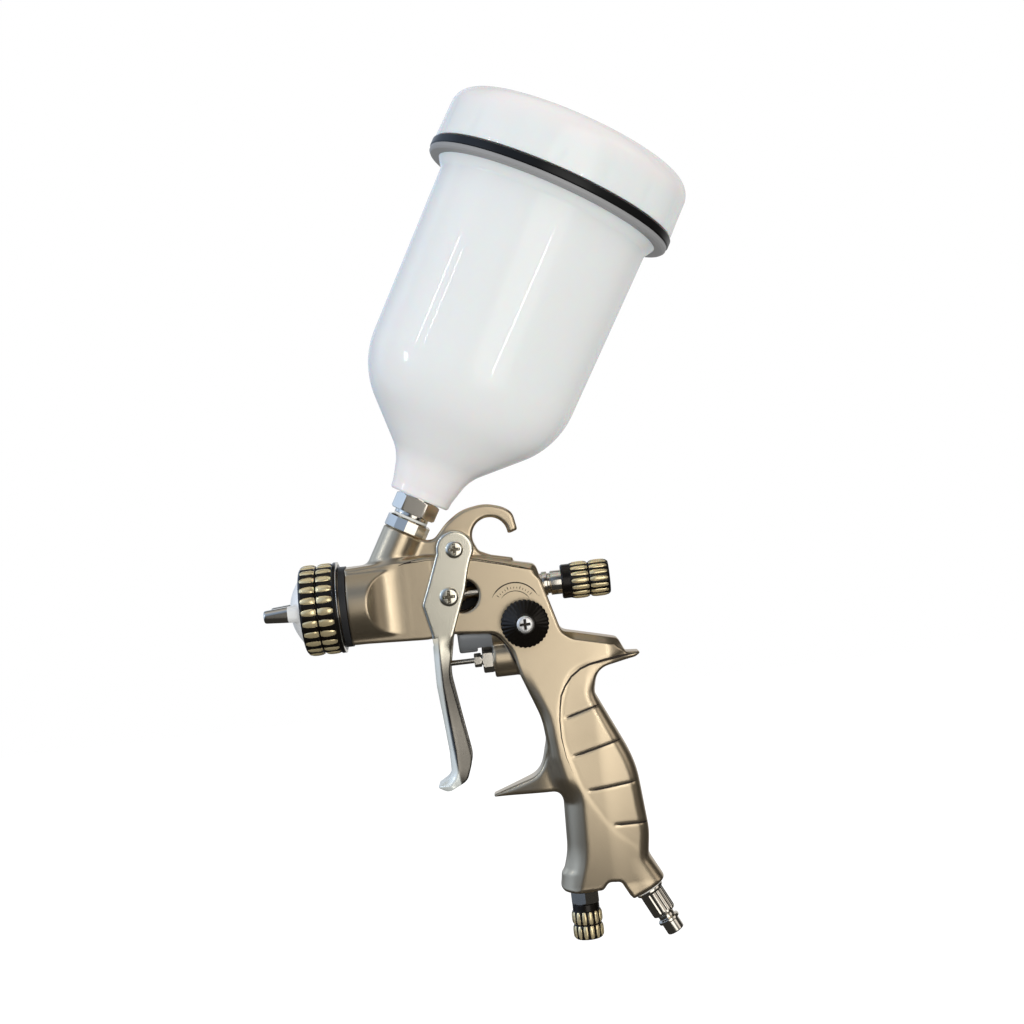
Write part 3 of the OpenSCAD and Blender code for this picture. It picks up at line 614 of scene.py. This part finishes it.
def body_finish(x, y, z):
    """0 for the satin coat, 1 for painted shade inside the window and the slot, 2 for the gallery under the
    block in a grey painted reflection
    """
    window = np.hypot(x - WINDOW[0], z - WINDOW[1]) < WINDOW_R - 0.25
    slot = (np.abs(z - WINDOW[1]) < 3.0) & (np.abs(x - SLOT_X) < 5.2)
    inside = (window | slot) & (np.abs(y) < BLOCK_HALF - 0.4)
    gallery = (z < -16.3) & (z > -25) & (x < 81) & (np.abs(y) < 7.9)
    return np.where(inside, 1, np.where(gallery, 2, 0))


def make_body():
    g = Grid((10, 0, -134), (143, 18, 38), STEP)
    finishes = [champagne, bore_shadow, gallery_reflection_grey]
    body = g.mesh("gun_body_skin", body_field(g), finishes, body_finish, side_bores)
    stand_for(body, "gun", "body_metal", "gun_body")
    draw_shade_lines_and_scale(body)


def ribbon(bm, tree, line, width, side, start, end):
    """Thin dark line laid on the body's side, used as painted shade along grooves and creases and for the
    scale's marks; its width goes from start to end times `width`
    """
    stride, lift, far = 0.45, 0.06, 40
    spots = []
    for (ax, az), (bx, bz) in zip(line, line[1:]):
        parts = max(1, round(math.hypot(bx - ax, bz - az) / stride))
        spots += [(ax + (bx - ax) * k / parts, az + (bz - az) * k / parts) for k in range(parts)]
    spots.append(line[-1])
    last = None
    for k, (x, z) in enumerate(spots):
        before, after = spots[max(0, k - 1)], spots[min(len(spots) - 1, k + 1)]
        along = Vector((after[0] - before[0], after[1] - before[1])).normalized()
        t = k / (len(spots) - 1)
        half = max(0.03, width / 2 * (start + (end - start) * t) * min(1, 6 * t + 0.1, 8 * (1 - t) + 0.1))
        pair = []
        for way in (-1, 1):
            px, pz = x - along.y * half * way, z + along.x * half * way
            hit = tree.ray_cast(Vector((px, far * side, pz)) * MM, Vector((0, -side, 0)))[0]
            if hit is None:
                break
            pair.append(bm.verts.new(hit + Vector((0, lift * side * MM, 0))))
        if len(pair) < 2:
            last = None
            continue
        if last:
            bm.faces.new((last[0], last[1], pair[1], pair[0]))
        last = pair


def arc(centre, radius, start, end, parts):
    turns = [math.radians(start + (end - start) * k / parts) for k in range(parts + 1)]
    return [(centre[0] + radius * math.cos(a), centre[1] + radius * math.sin(a)) for a in turns]


TOP_LINE = [(46.5, 14.3), (49, 15.0), (58, 15.8), (66, 15.1), (78, 13.2), (90, 9.9), (101, 6.5)]
PANEL_LINE = [(140.5, -31.9), (133, -32.2), (125, -33.0), (119, -34.0), (115, -35.4), (111, -38.1),
              (108, -41.7), (106, -45.3), (105, -50), (104.3, -55), (104.2, -62), (105.2, -70), (107.2, -77)]
BLOCK_LINE = [(63, -16.0), (75, -16.2), (79.4, -16.8), (82.4, -18.1), (85.4, -21), (87.4, -25), (89.3, -30),
              (90.4, -33.6)]
SCALE_CENTRE = (91.8, -8.0)


def draw_shade_lines_and_scale(body):
    """Dark lines of painted shade in the grip's grooves and along the creases, and the fan knob's crescent
    scale
    """
    vertices = [v.co.copy() for v in body.data.vertices]
    tree = BVHTree.FromPolygons(vertices, [tuple(f.vertices) for f in body.data.polygons])
    bm = bmesh.new()
    # Painted shade: in the grip's grooves, along the panel crease, as a shadow under the block's lower edge,
    # and along its top edge
    for side in (-1, 1):
        for start, end in GRIP_GROOVES:
            reach = (end[0] - 1.8, end[1] + (start[1] - end[1]) * 1.8 / (end[0] - start[0]))
            ribbon(bm, tree, [start, reach], 0.9, side, 1.0, 0.8)
        ribbon(bm, tree, PANEL_LINE, 1.15, side, 1.1, 0.15)
        ribbon(bm, tree, BLOCK_LINE, 0.9, side, 0.7, 0.9)
        ribbon(bm, tree, TOP_LINE, 0.8, side, 1.7, 0.8)
    # Marks of the crescent scale, on the fan knob's side only
    ribbon(bm, tree, arc(SCALE_CENTRE, 10.3, 150, 24, 30), 0.5, -1, 1.0, 1.0)
    ribbon(bm, tree, arc(SCALE_CENTRE, 6.9, 140, 30, 24), 0.3, -1, 1.0, 1.0)
    for k in range(13):
        angle = 140 - 8.6 * k
        outer = 9.2 if k % 4 == 0 else 8.7
        ribbon(bm, tree, [arc(SCALE_CENTRE, r, angle, angle, 1)[0] for r in (7.8, outer)], 0.3, -1, 1.0, 1.0)
    lines = finish_mesh("gun_body_shade_lines_and_scale", bm, [ink_and_painted_shade])
    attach(lines, "gun")


# ---- Trigger ----

TRIGGER = [(57, -15, 4), (54.4, -2.6, 3), (58, 6, 8), (62.5, 17.6, 4), (66, 22, 0), (74, 22, 0),
           (77.5, 17.6, 4), (74.8, 10, 10), (72.6, 1.5, 12), (65, -18, 10), (62.2, -32, 20),
           (67.6, -67, 12), (64.5, -75.5, 5), (56, -79.4, 3), (51.5, -77, 0.8), (58.3, -73, 5),
           (58.4, -63, 20), (56.4, -36, 30)]
LEVER_TOP = -16.5
LEVER_FRONT = [(57.6, -10, 0), (56.6, -20, 10), (56.4, -36, 30), (58.4, -63, 20), (58.3, -73, 5),
               (51.5, -77, 0.8), (56, -79.6, 2), (64, -95, 0), (110, -95, 0), (110, -10, 0)]


def make_trigger():
    g = Grid((49, 0, -82), (80, 13, 28), FINE)
    half = TRIGGER_HALF + (TRIGGER_FOOT_HALF - TRIGGER_HALF) * ramp(-22, -54, g.z)
    outline = np.minimum(g.flat(TRIGGER), np.hypot(g.x - PIVOT[0], g.z - PIVOT[1]) - 7.55)
    cheek = meet(outline, g.y - half, 0.8)
    front = g.flat(LEVER_FRONT)
    tapered = g.y - half + 0.28 * np.clip(-front - 2.4, 0, 20)
    lever = np.maximum(0.5 * (chamfered(front, tapered, 2.8) + meet(front, tapered, 4.2)), outline)
    into_lever = ramp(-15, -24, g.z)
    field = cheek + (lever - cheek) * into_lever
    pocket = g.flat([(40, 40, 0), (90, 40, 0), (90, -90, 0), (72, -90, 0), (63.2, -73.6, 2), (60.6, -70.6, 2),
                     (60.6, -62, 20), (58.4, -36, 10), (58.3, -20, 0.5), (40, -20, 0.5)])
    inner_cheek = meet(pocket, g.y - (half - SHEET), 1.0)
    inner_lever = np.maximum(chamfered(front + SHEET, tapered + SHEET, 2.0), pocket)
    field = carve(field, inner_cheek + (inner_lever - inner_cheek) * into_lever, 0.4)
    field = carve(field, g.rod_y(2.6, PIVOT, 20, 0))
    field = carve(field, g.rod_y(2.05, PUSHER, 20, 0))
    notch = np.hypot(g.x - 56.3, g.z + 18.9) - 0.9
    field = carve(field, notch, 0.3)
    # Below LEVER_TOP the lever takes the second material: painted shade on its flanks and a painted highlight
    # on its front edge
    lever = g.mesh("trigger_lever", field, [nickel, lever_painted_shade], lambda x, y, z: z < LEVER_TOP)
    stand_for(lever, "trigger", "trigger_metal", "trigger")


def screw_head(bm, at, side, radius, seat, height):
    """Pan head with a cross recess, standing on a cheek"""
    place = axis_frame((at[0], side * seat, at[1]), (0, side, 0))
    arm_w, arm_l, recess = 0.42, radius * 0.60, 0.9
    rings, spokes = 30, 160
    grid, sunk = [], set()
    for i in range(rings + 1):
        rho = radius * i / rings
        ring = []
        for j in range(spokes if i else 1):
            a = 2 * math.pi * j / spokes
            x, y = rho * math.cos(a), rho * math.sin(a)
            crown = height * (1 - 0.16 * (rho / radius) ** 2 - 0.45 * (rho / radius) ** 9)
            arm = min(max(abs(x) - arm_w, abs(y) - arm_l), max(abs(y) - arm_w, abs(x) - arm_l))
            depth = recess * height * max(0.0, min(1.0, 0.5 - arm / 0.32))
            ring.append(bm.verts.new(place @ Vector((x, y, crown - depth)) * MM))
            if depth > 0.4 * recess * height:
                sunk.add(ring[-1])
        grid.append(ring)
    foot = [bm.verts.new(place @ Vector((radius * math.cos(2 * math.pi * j / spokes),
                                         radius * math.sin(2 * math.pi * j / spokes), 0)) * MM)
            for j in range(spokes)]
    grid.append(foot)
    # Recess faces take the second material, a painted shade
    cap_grid(bm, grid, lambda face: int(sunk.issuperset(face.verts)))
    bm.faces.new(foot[::-1])


def make_trigger_screws():
    bm = bmesh.new()
    for side in (-1, 1):
        screw_head(bm, PUSHER, side, 3.9, TRIGGER_HALF, 1.45)
        place = axis_frame((PUSHER[0], 0, PUSHER[1]), (0, side, 0))
        head = TRIGGER_HALF + 0.1
        turned(bm, [(0, 2.05), (1.6, 2.05), (1.95, 2.4), (1.95, head), (0, head)], place, 32)
    stand_for(finish_mesh("needle_pusher_screw_pair", bm, [nickel, shade]), "trigger", "bright_metal",
              "needle_pusher_screws")
    bm = bmesh.new()
    screw_head(bm, PIVOT, -1, 3.6, TRIGGER_HALF + 0.1, 1.45)
    place = axis_frame((PIVOT[0], 0, PIVOT[1]), (0, 1, 0))
    head, cheek, end = -TRIGGER_HALF - 0.2, TRIGGER_HALF, TRIGGER_HALF + 1.5
    turned(bm, [(0, head), (2.45, head), (2.45, cheek + 0.2), (2.0, cheek + 0.3), (2.0, cheek + 0.9),
                (2.45, cheek + 1.0), (2.45, end - 0.3), (2.15, end), (0, end)], place, 48)
    stand_for(finish_mesh("trigger_pivot_screw", bm, [nickel, shade]), "gun", "bright_metal", "trigger_pin")


# ---- Air cap and its ring ----

NEEDLE_AXIS = axis_frame((0, 0, 0), (1, 0, 0))


def make_air_cap():
    g = Grid((-12, 0, -16), (12, 16, 16), FINE)
    radial = np.hypot(g.y, g.z)
    ball = np.hypot(g.x - 20.6, radial) - 20.5
    dome = meet(meet(radial - 14.1, ball, 0.8), np.abs(g.x - 4) - 3.98, 0.5)
    field = np.minimum(dome, g.rod_x(14.6, 7.2, 10.6, edge=0.3))
    spread = 3.7 - 0.075 * (6 - g.x)
    horn = meet(np.abs(g.z) - spread, np.abs(g.y - 11) - 3.2, 2.6)
    horn = meet(horn, np.abs(g.x + 1.3) - 8.0, 0.7)
    field = melt(field, horn, 1.2)
    field = np.maximum(field, np.where(g.x > 6.9, radial - 14.65, radial - 14.15))
    field = carve(field, g.rod_x(2.3, -3, 6, edge=0))
    inside = np.maximum(radial - 2.2 - (g.x - 5) * 1.4, np.maximum(4.9 - g.x, radial - 10.5))
    field = carve(field, inside, 0.2)
    for at in (-6.6, -3.4):
        hole = np.maximum(np.hypot(g.x - at - (11 - g.y) * 0.35, g.z) - 0.75, g.y - 11)
        field = carve(field, hole, 0.1)
    for a in (0, 60, 120, 180, 240, 300):
        y, z = 4.7 * math.cos(math.radians(a + 30)), 4.7 * math.sin(math.radians(a + 30))
        field = carve(field, np.maximum(np.hypot(g.y - y, g.z - z) - 0.65, np.abs(g.x) - 7), 0.1)
    cap = g.mesh("air_cap_body", field, [cap_alloy, chrome], lambda x, y, z: x < 0.4)
    stand_for(cap, "cap", "cap_metal", "air_cap")


def fluted(count, depth, low, high, phase=0.0):
    """Shape with shallow flutes between two stations"""
    def shape(radius, station, angle):
        if radius < 3 or not low <= station <= high:
            return radius
        return radius - depth * (0.5 - 0.5 * math.cos(count * angle + 2 * math.pi * phase)) ** 3
    return shape


def make_cap_ring():
    bm = bmesh.new()
    count = 24
    profile = [(14.3, 5.6), (17.0, 5.6, 0.6), (18.25, 6.6, 0.5), (18.3, 11.8, 0.3), (17.3, 12.7, 0.3),
               (18.3, 13.6, 0.3), (18.25, 19.3, 0.3), (18.65, 19.7, 0.2), (18.62, 20.7, 0.2),
               (17.5, 21.4, 0.3), (15.16, 21.4), (15.16, 7.0), (14.3, 7.0)]
    turned(bm, profile, NEEDLE_AXIS, 240, fluted(count, 0.55, 6.5, 19.4, 0.5))
    pads(bm, NEEDLE_AXIS, 18.1, 12.4, 6.3, count, 4.0, 0.55, 0.38)
    pads(bm, NEEDLE_AXIS, 18.1, 13.0, 19.3, count, 4.0, 0.55, 0.3)
    rim = [(17.6, 20.9), (18.68, 20.9, 0.1), (18.68, 21.25, 0.1), (17.6, 21.42)]
    turned(bm, rim, NEEDLE_AXIS, 160, index=2)
    grip = finish_mesh("air_cap_ring_grip", bm, [black_metal, gold, chrome])
    stand_for(grip, "cap_ring", "black_metal", "air_cap_ring")


# ---- Knobs ----

def make_fluid_knob():
    bm = bmesh.new()
    count = 16
    profile = [(0, 113.5), (5.05, 113.5), (5.05, 111.6), (6.6, 111.6, 0.3), (7.0, 112.2, 0.2),
               (7.0, 115.3, 0.3), (7.25, 115.7, 0.2), (7.3, 122.2, 0.3), (6.6, 123.0, 0.3), (7.3, 123.8, 0.3),
               (7.25, 130.4, 0.6), (6.4, 131.4, 0.5), (0, 131.4)]
    turned(bm, profile, NEEDLE_AXIS, 180, fluted(count, 0.6, 115.6, 130.6, 0.5))
    pads(bm, NEEDLE_AXIS, 7.18, 122.7, 115.7, count, 2.45, 0.4, 0.25)
    pads(bm, NEEDLE_AXIS, 7.18, 123.3, 130.5, count, 2.45, 0.4, 0.25)
    grip = finish_mesh("fluid_knob_grip", bm, [black_metal, gold])
    stand_for(grip, "fluid_knob", "black_metal", "fluid_knob")


def make_rear_bushing():
    profile = [(4.0, 96.6), (4.35, 96.6), (4.35, 103.7), (4.95, 103.7, 0.2), (4.95, 105.8, 0.2),
               (4.2, 106.1, 0.1), (4.2, 107.0, 0.1), (4.95, 107.3, 0.2), (4.95, 117.8, 0.2), (2.97, 117.8),
               (2.97, 102), (4.0, 102)]
    spun("fluid_knob_bushing_turned", [chrome], SOFT_EDGE, "gun", "bright_metal", "fluid_knob_bushing",
         (profile, NEEDLE_AXIS, 72))


def make_flow_knob():
    place = axis_frame((FLOW_X, 0, 0), (0, 0, 1))
    top = FLOW_Z - 5.7
    bm = bmesh.new()
    count = 14
    profile = [(0, top - 14.4), (5.3, top - 14.4, 0.5), (5.95, top - 13.6, 0.4), (6.05, top - 9.2, 0.3),
               (5.45, top - 8.4, 0.3), (6.05, top - 7.6, 0.3), (5.95, top - 3.2, 0.3), (5.5, top - 2.8, 0.2),
               (5.5, top - 0.3, 0.3), (5.2, top - 0.05), (3.66, top - 0.05), (3.66, top - 6.8),
               (0, top - 6.8)]
    turned(bm, profile, place, 144, fluted(count, 0.5, top - 14, top - 3, 0.5))
    pads(bm, place, 5.95, top - 8.1, top - 3.0, count, 2.3, 0.33, 0.25)
    pads(bm, place, 5.95, top - 8.7, top - 14.0, count, 2.3, 0.33, 0.25)
    grip = finish_mesh("air_flow_knob_grip", bm, [black_metal, gold])
    stand_for(grip, "air_knob", "black_metal", "air_flow_knob")


def make_fan_knob():
    place = axis_frame((FAN[0], 0, FAN[1]), (0, -1, 0))

    def serrated(radius, station, angle):
        if radius < 9:
            return radius
        return radius - 0.35 * (0.5 + 0.5 * math.cos(32 * angle)) ** 2

    profile = [(2.05, 18.5), (2.05, 11.1), (8.4, 11.1, 0.2), (9.75, 11.7, 0.3), (9.75, 15.4, 0.4),
               (9.1, 16.0, 0.4), (4.3, 18.9, 0.5), (3.9, 19.45, 0.2), (1.25, 19.45), (1.25, 18.5)]
    spun("fan_knob_turned", [black_metal], SOFT_EDGE, "fan_control", "black_metal", "fan_knob",
         (profile, place, 240, serrated))
    bm = bmesh.new()
    screw_head(bm, FAN, -1, 3.35, 19.45, 1.3)
    turned(bm, [(0, 12.5), (1.1, 12.5, 0.2), (1.15, 19.3), (0, 19.3)], place, 32)
    # The fan screw's cross recess is painted shade
    stand_for(finish_mesh("fan_knob_screw_head", bm, [white_nickel, ink_and_painted_shade]), "fan_control", "bright_metal",
              "fan_knob_screw")


# ---- Hexes, collars and the air plug ----

def hexed(low, high, corner_r, chamfer=0.7):
    """Shape that is hexagonal between two stations, with its corners turned off at both ends"""
    def shape(radius, station, angle):
        if radius < corner_r * 0.9 or not low <= station <= high:
            return radius
        end = min(station - low, high - station)
        return min(hex_shape(corner_r, angle), corner_r * 0.9 + 1.7 * end if end < chamfer else corner_r)
    return shape


def hex_profile(inner, corner_r, low, high):
    """Closed outline of a hex ring with rows close enough to show its turned corners"""
    r = corner_r * 0.95
    return [(inner, low), (corner_r * 0.8, low), (r, low), (r, low + 0.25), (r, low + 0.5), (r, low + 0.75),
            (r, high - 0.75), (r, high - 0.5), (r, high - 0.25), (r, high), (corner_r * 0.8, high),
            (inner, high)]


def make_inlet_fittings():
    place = axis_frame((INLET_X, 0, 0), (math.sin(LEAN), 0, math.cos(LEAN)))
    low, high = INLET_TOP + 0.05, 37.4

    def faceted(radius, station, angle):
        if radius < 8:
            return radius
        twelfth = math.pi / 6
        return radius * math.cos(twelfth / 2) / math.cos(angle % twelfth - twelfth / 2)

    profile = [(5.66, low), (8.5, low, 0.2), (9.1, low + 0.5, 0.2), (9.1, high - 0.6, 0.2), (8.4, high, 0.2),
               (5.66, high)]
    spun("inlet_collar_faceted", [chrome], HEX_EDGE, "gun", "bright_metal", "inlet_collar",
         (profile, place, 144, faceted))

    foot = [(4.05, 29.6), (5.2, 29.6, 0.2), (5.55, 30.2, 0.2), (5.55, 38.5), (7.3, 38.5, 0.15), (7.3, 39.9),
            (4.05, 39.9)]
    neck = [(4.05, 46.4), (7.95, 46.4), (7.95, 61.3, 0.4), (4.05, 61.3, 0.2)]
    spun("cup_connector_hex", [chrome], HEX_EDGE, "cup", "bright_metal", "cup_connector",
         (foot, place, 96),
         (hex_profile(4.05, 9.4, 39.8, 46.5), place, 144, hexed(39.8, 46.5, 9.4)),
         (neck, place, 96))


def make_valve_fittings():
    place = axis_frame((0, 0, VALVE_Z), (1, 0, 0))
    collar = [(1.16, 81.2), (5.5, 80.3), (5.5, 90), (3.6, 90), (3.6, 84), (1.16, 84)]
    spun("air_valve_nut_hex", [chrome], HEX_EDGE, "gun", "bright_metal", "air_valve_nut",
         (hex_profile(2.25, 5.6, 76.05, 80.4), place, 144, hexed(76.05, 80.4, 5.6)),
         (collar, place, 72))
    thread = [(1.16, 75.4), (2.15, 75.4), (2.15, 78.9), (1.16, 78.9)]
    spun("valve_gland_nut_hex", [chrome], HEX_EDGE, "gun", "brass", "valve_gland_nut",
         (hex_profile(1.16, 2.9, 72.55, 75.5), place, 96, hexed(72.55, 75.5, 2.9, 0.4)),
         (thread, place, 48))


def make_foot_fittings():
    place = axis_frame((FLOW_X, 0, 0), (0, 0, 1))
    low, high = FLOW_Z - 5.55, FLOW_Z - 0.05
    stub = [(1.86, FLOW_Z - 8.9), (3.55, FLOW_Z - 8.9, 0.2), (3.55, low + 0.1), (1.86, low + 0.1)]
    thread = [(1.86, high - 0.1), (3.35, high - 0.1), (3.35, FLOW_Z + 9, 0.2), (1.86, FLOW_Z + 9)]
    spun("air_flow_bushing_hex", [chrome], HEX_EDGE, "gun", "bright_metal", "air_flow_bushing",
         (hex_profile(1.86, 6.4, low, high), place @ Matrix.Rotation(math.pi / 6, 4, "Z"), 144,
          hexed(low, high, 6.4)),
         (stub, place, 64),
         (thread, place, 64))

    direction = (math.sin(PLUG_LEAN), 0, -math.cos(PLUG_LEAN))
    place = axis_frame((PLUG_FOOT[0], 0, PLUG_FOOT[1]), direction)
    profile = [(2.2, -9), (4.1, -9, 0.2), (4.45, -8.6, 0.1), (4.45, 0.9), (5.9, 0.9, 0.2), (5.9, 1.9, 0.3),
               (5.0, 2.6, 0.4), (5.0, 11.4, 0.2), (4.9, 12.4, 0.3), (3.4, 13.2, 0.3), (3.4, 14.7, 0.3),
               (4.55, 15.2, 0.2), (4.55, 16.3, 0.2), (3.7, 16.7), (3.7, 21.1, 0.3), (3.3, 21.45, 0.1),
               (2.2, 21.45)]
    spun("air_inlet_plug_turned", [chrome], SOFT_EDGE, "gun", "bright_metal", "air_inlet_plug",
         (profile, place, 144, fluted(12, 0.35, 2.2, 11.6)))


# ---- Cup and lid ----

CUP_PLACE = axis_frame((INLET_X + CUP_FOOT * math.sin(LEAN), 0, CUP_FOOT * math.cos(LEAN)),
                       (math.sin(LEAN), 0, math.cos(LEAN)))


def make_cup():
    outside = [(8.02, -2.7), (12.1, -2.7, 0.6), (12.7, -2.0, 0.5), (12.95, 0.6, 10), (15.95, 11.9, 18),
               (43.8, 38.9, 36), (45.4, 125, 3), (49.6, 131, 3), (49.55, 144.9, 0.5)]
    inside = [(47.9, 144.9, 0.4), (47.9, 131.8, 3), (43.7, 125.5, 3), (42.1, 40.2, 34), (12.6, 12.1, 2),
              (8.02, 12.1)]
    spun("paint_cup", [frosted], CUP_EDGE, "cup", "cup_plastic", "cup",
         (outside + inside, CUP_PLACE, 192, None, 0, 16))


def make_cup_ring():
    black = [(46.6, 130.9), (52.5, 130.9, 0.3), (52.9, 131.4, 0.3), (52.9, 134.1, 0.4), (52.4, 134.5, 0.2),
             (49.75, 134.5), (49.7, 131.2)]
    grey = [(45.75, 128.7), (51.6, 128.7, 0.6), (52.5, 129.6, 0.5), (52.5, 130.95), (46.6, 130.95)]
    spun("cup_ring_black", [ring_plastic, grey_plastic], SOFT_EDGE, "cup", "black_plastic", "cup_ring",
         (black, CUP_PLACE, 192),
         (grey, CUP_PLACE, 192, None, 1))


def make_lid():
    low, top = 134.95, 158.8

    def ribbed(radius, station, angle):
        """Faint finger ribs round the lid's skirt"""
        if radius < 51.9 or not low + 1 < station < top - 9:
            return radius
        return radius - 0.35 * (0.5 + 0.5 * math.cos(16 * angle)) ** 6

    profile = [(3.1, top - 2.2), (44.1, top - 3.3, 1.5), (44.1, 147.0), (50.5, 147.0, 0.3), (50.5, low),
               (52.1, low, 0.3), (52.3, low + 1.5), (52.2, low + 5), (52.1, low + 8), (51.75, top - 2.1, 11),
               (40, top + 0.5, 30), (25, top + 2.2, 60), (3.1, top + 2.9)]
    spun("cup_lid_cap", [frosted], CUP_EDGE, "lid", "cup_plastic", "cup_lid",
         (profile, CUP_PLACE, 320, ribbed, 0, 10))
    plug = [(0, top - 3.4), (2.9, top - 3.4), (2.9, top + 2.8), (4.1, top + 2.9, 0.3), (4.1, top + 3.6, 0.6),
            (0, top + 3.9)]
    spun("lid_vent_cap", [frosted], SOFT_EDGE, "lid", "cup_plastic", "lid_vent_plug",
         (plug, CUP_PLACE, 48))


# ---- Studio, in metres ----

CAMERA_AT = (0.0949, -0.7, 0.0307)
CAMERA_ROLL = math.radians(6.66)
CAMERA_LENS = 60.03
FLOOR_Z = -0.70
# Even light on matt surfaces, and what the rest of the room looks like in reflections
PALE = 1.13
DIM_ROOM = (0.035, 0.034, 0.032)


def area_light(name, at, toward, size, energy, colour=(1, 1, 1), roll=0.0):
    light = bpy.data.lights.new(name, "AREA")
    light.shape = "RECTANGLE"
    light.size, light.size_y = size
    light.energy = energy
    light.color = colour
    lamp = bpy.data.objects.new(name, light)
    lamp.location = at
    facing = (Vector(toward) - Vector(at)).to_track_quat("-Z", "Y").to_matrix()
    lamp.rotation_euler = (facing @ Matrix.Rotation(math.radians(roll), 3, "Z")).to_euler()
    bpy.context.scene.collection.objects.link(lamp)


def split_by_ray(wiring, output, other, seen, and_diffuse=False):
    """Feeds `output` with `seen` for camera rays, and diffuse ones if asked, else with `other`"""
    path = wiring.add("LightPath", {})
    chosen = path.outputs["Is Camera Ray"]
    if and_diffuse:
        chosen = wiring.maths("MAXIMUM", chosen, path.outputs["Is Diffuse Ray"])
    wiring.feed(output, wiring.add("MixShader", {"Fac": chosen, 1: other, 2: seen}).outputs["Shader"])


def make_floor():
    """Plain white floor well below the air plug, left out of reflections"""
    material, wiring, shader = principled("pale_floor")
    shader.inputs["Base Color"].default_value = (0.10, 0.10, 0.10, 1)
    shader.inputs["Roughness"].default_value = 1.0
    shader.inputs["Specular IOR Level"].default_value = 0.0
    white = wiring.add("Emission", {"Strength": PALE})
    output = material.node_tree.nodes["Material Output"].inputs["Surface"]
    split_by_ray(wiring, output, shader.outputs["BSDF"], white.outputs["Emission"], and_diffuse=True)
    bm = bmesh.new()
    corners = ((-6, -6), (6, -6), (6, 6), (-6, 6))
    bm.faces.new([bm.verts.new((x, y, FLOOR_Z)) for x, y in corners])
    data = bpy.data.meshes.new("studio_floor")
    bm.to_mesh(data)
    bm.free()
    floor = add_piece("studio_floor", data, [material])
    floor.visible_glossy = False


# Soft lights of the studio as reflected: (toward, cosine where it starts, cosine where it is full, colour)
SOFTBOXES = [
    ((0.34, -1.0, 0.02), 0.84, 0.985, (0.34, 0.34, 0.34)),
    ((-0.92, 0.05, 0.33), 0.75, 0.90, (0.36, 0.48, 0.70)),
    ((-0.75, -0.60, 0.50), 0.68, 0.90, (0.28, 0.38, 0.56)),
    ((-0.55, 0.75, 0.35), 0.80, 0.95, (0.36, 0.46, 0.62)),
    ((1.0, -0.55, 0.25), 0.955, 0.985, (0.9, 0.85, 0.8)),
    ((-0.1, -0.1, 1.0), 0.80, 0.97, (0.34, 0.34, 0.34)),
    ((0.3, 1.0, 0.25), 0.70, 0.97, (0.62, 0.62, 0.62)),
]


def make_world():
    world = bpy.data.worlds.new("studio")
    bpy.context.scene.world = world
    world.use_nodes = True
    world.node_tree.nodes.clear()
    wiring = Wiring(world.node_tree)
    place = wiring.add("TexCoord", {}).outputs["Generated"]
    total = DIM_ROOM
    for toward, start, full, colour in SOFTBOXES:
        facing = wiring.add("VectorMath", {0: place, 1: Vector(toward).normalized()}, operation="DOT_PRODUCT")
        fall = wiring.smooth(facing.outputs["Value"], start, full)
        glow = wiring.add("VectorMath", {0: fall, 1: colour, 2: total}, operation="MULTIPLY_ADD")
        total = glow.outputs["Vector"]
    reflected = wiring.add("Background", {"Color": total}).outputs["Background"]
    even = wiring.add("Background", {"Color": (PALE, PALE, PALE, 1)}).outputs["Background"]
    seen = wiring.add("Background", {"Color": (1, 1, 1, 1)}).outputs["Background"]
    diffuse = wiring.add("LightPath", {}).outputs["Is Diffuse Ray"]
    lighting = wiring.add("MixShader", {"Fac": diffuse, 1: reflected, 2: even}).outputs["Shader"]
    split_by_ray(wiring, wiring.add("OutputWorld", {}).inputs["Surface"], lighting, seen)


def make_studio():
    make_floor()
    make_world()
    area_light("key", (0.325, -0.85, 0.03), (0.13, -0.1, 0.03), (0.53, 0.78), 1.62, (1, 0.98, 0.94))
    area_light("cup_strip", (0.370, -0.78, -0.006), (0.113, -0.04, 0.1155), (0.022, 0.155), 0.12, roll=-30)
    area_light("left_strip", (-0.62, -0.36, 0.57), (0.076, -0.04, 0.119), (0.014, 0.12), 0.12, roll=-12)
    area_light("left_strip_two", (-0.555, -0.49, 0.53), (0.08, -0.04, 0.116), (0.009, 0.10), 0.06, roll=-12)
    area_light("window", (-0.75, -0.22, 0.30), (0.08, 0, 0.10), (0.09, 0.13), 0.30, (0.9, 0.96, 1))

    camera = bpy.data.cameras.new("camera")
    camera.lens = CAMERA_LENS
    camera.sensor_width = 36
    camera.clip_start, camera.clip_end = 0.05, 30
    eye = bpy.data.objects.new("camera", camera)
    bpy.context.scene.collection.objects.link(eye)
    right = Vector((math.cos(CAMERA_ROLL), 0, -math.sin(CAMERA_ROLL)))
    up = Vector((math.sin(CAMERA_ROLL), 0, math.cos(CAMERA_ROLL)))
    back = right.cross(up)
    turn = Matrix((right, up, back)).transposed().to_4x4()
    eye.matrix_world = Matrix.Translation(CAMERA_AT) @ turn
    bpy.context.scene.camera = eye
    bpy.context.scene.view_settings.view_transform = "Standard"


# ---- Everything ----

make_studio()
dress_frame()
make_body()
make_trigger()
make_trigger_screws()
make_air_cap()
make_cap_ring()
make_fluid_knob()
make_rear_bushing()
make_flow_knob()
make_fan_knob()
make_inlet_fittings()
make_valve_fittings()
make_foot_fittings()
make_cup()
make_cup_ring()
make_lid()
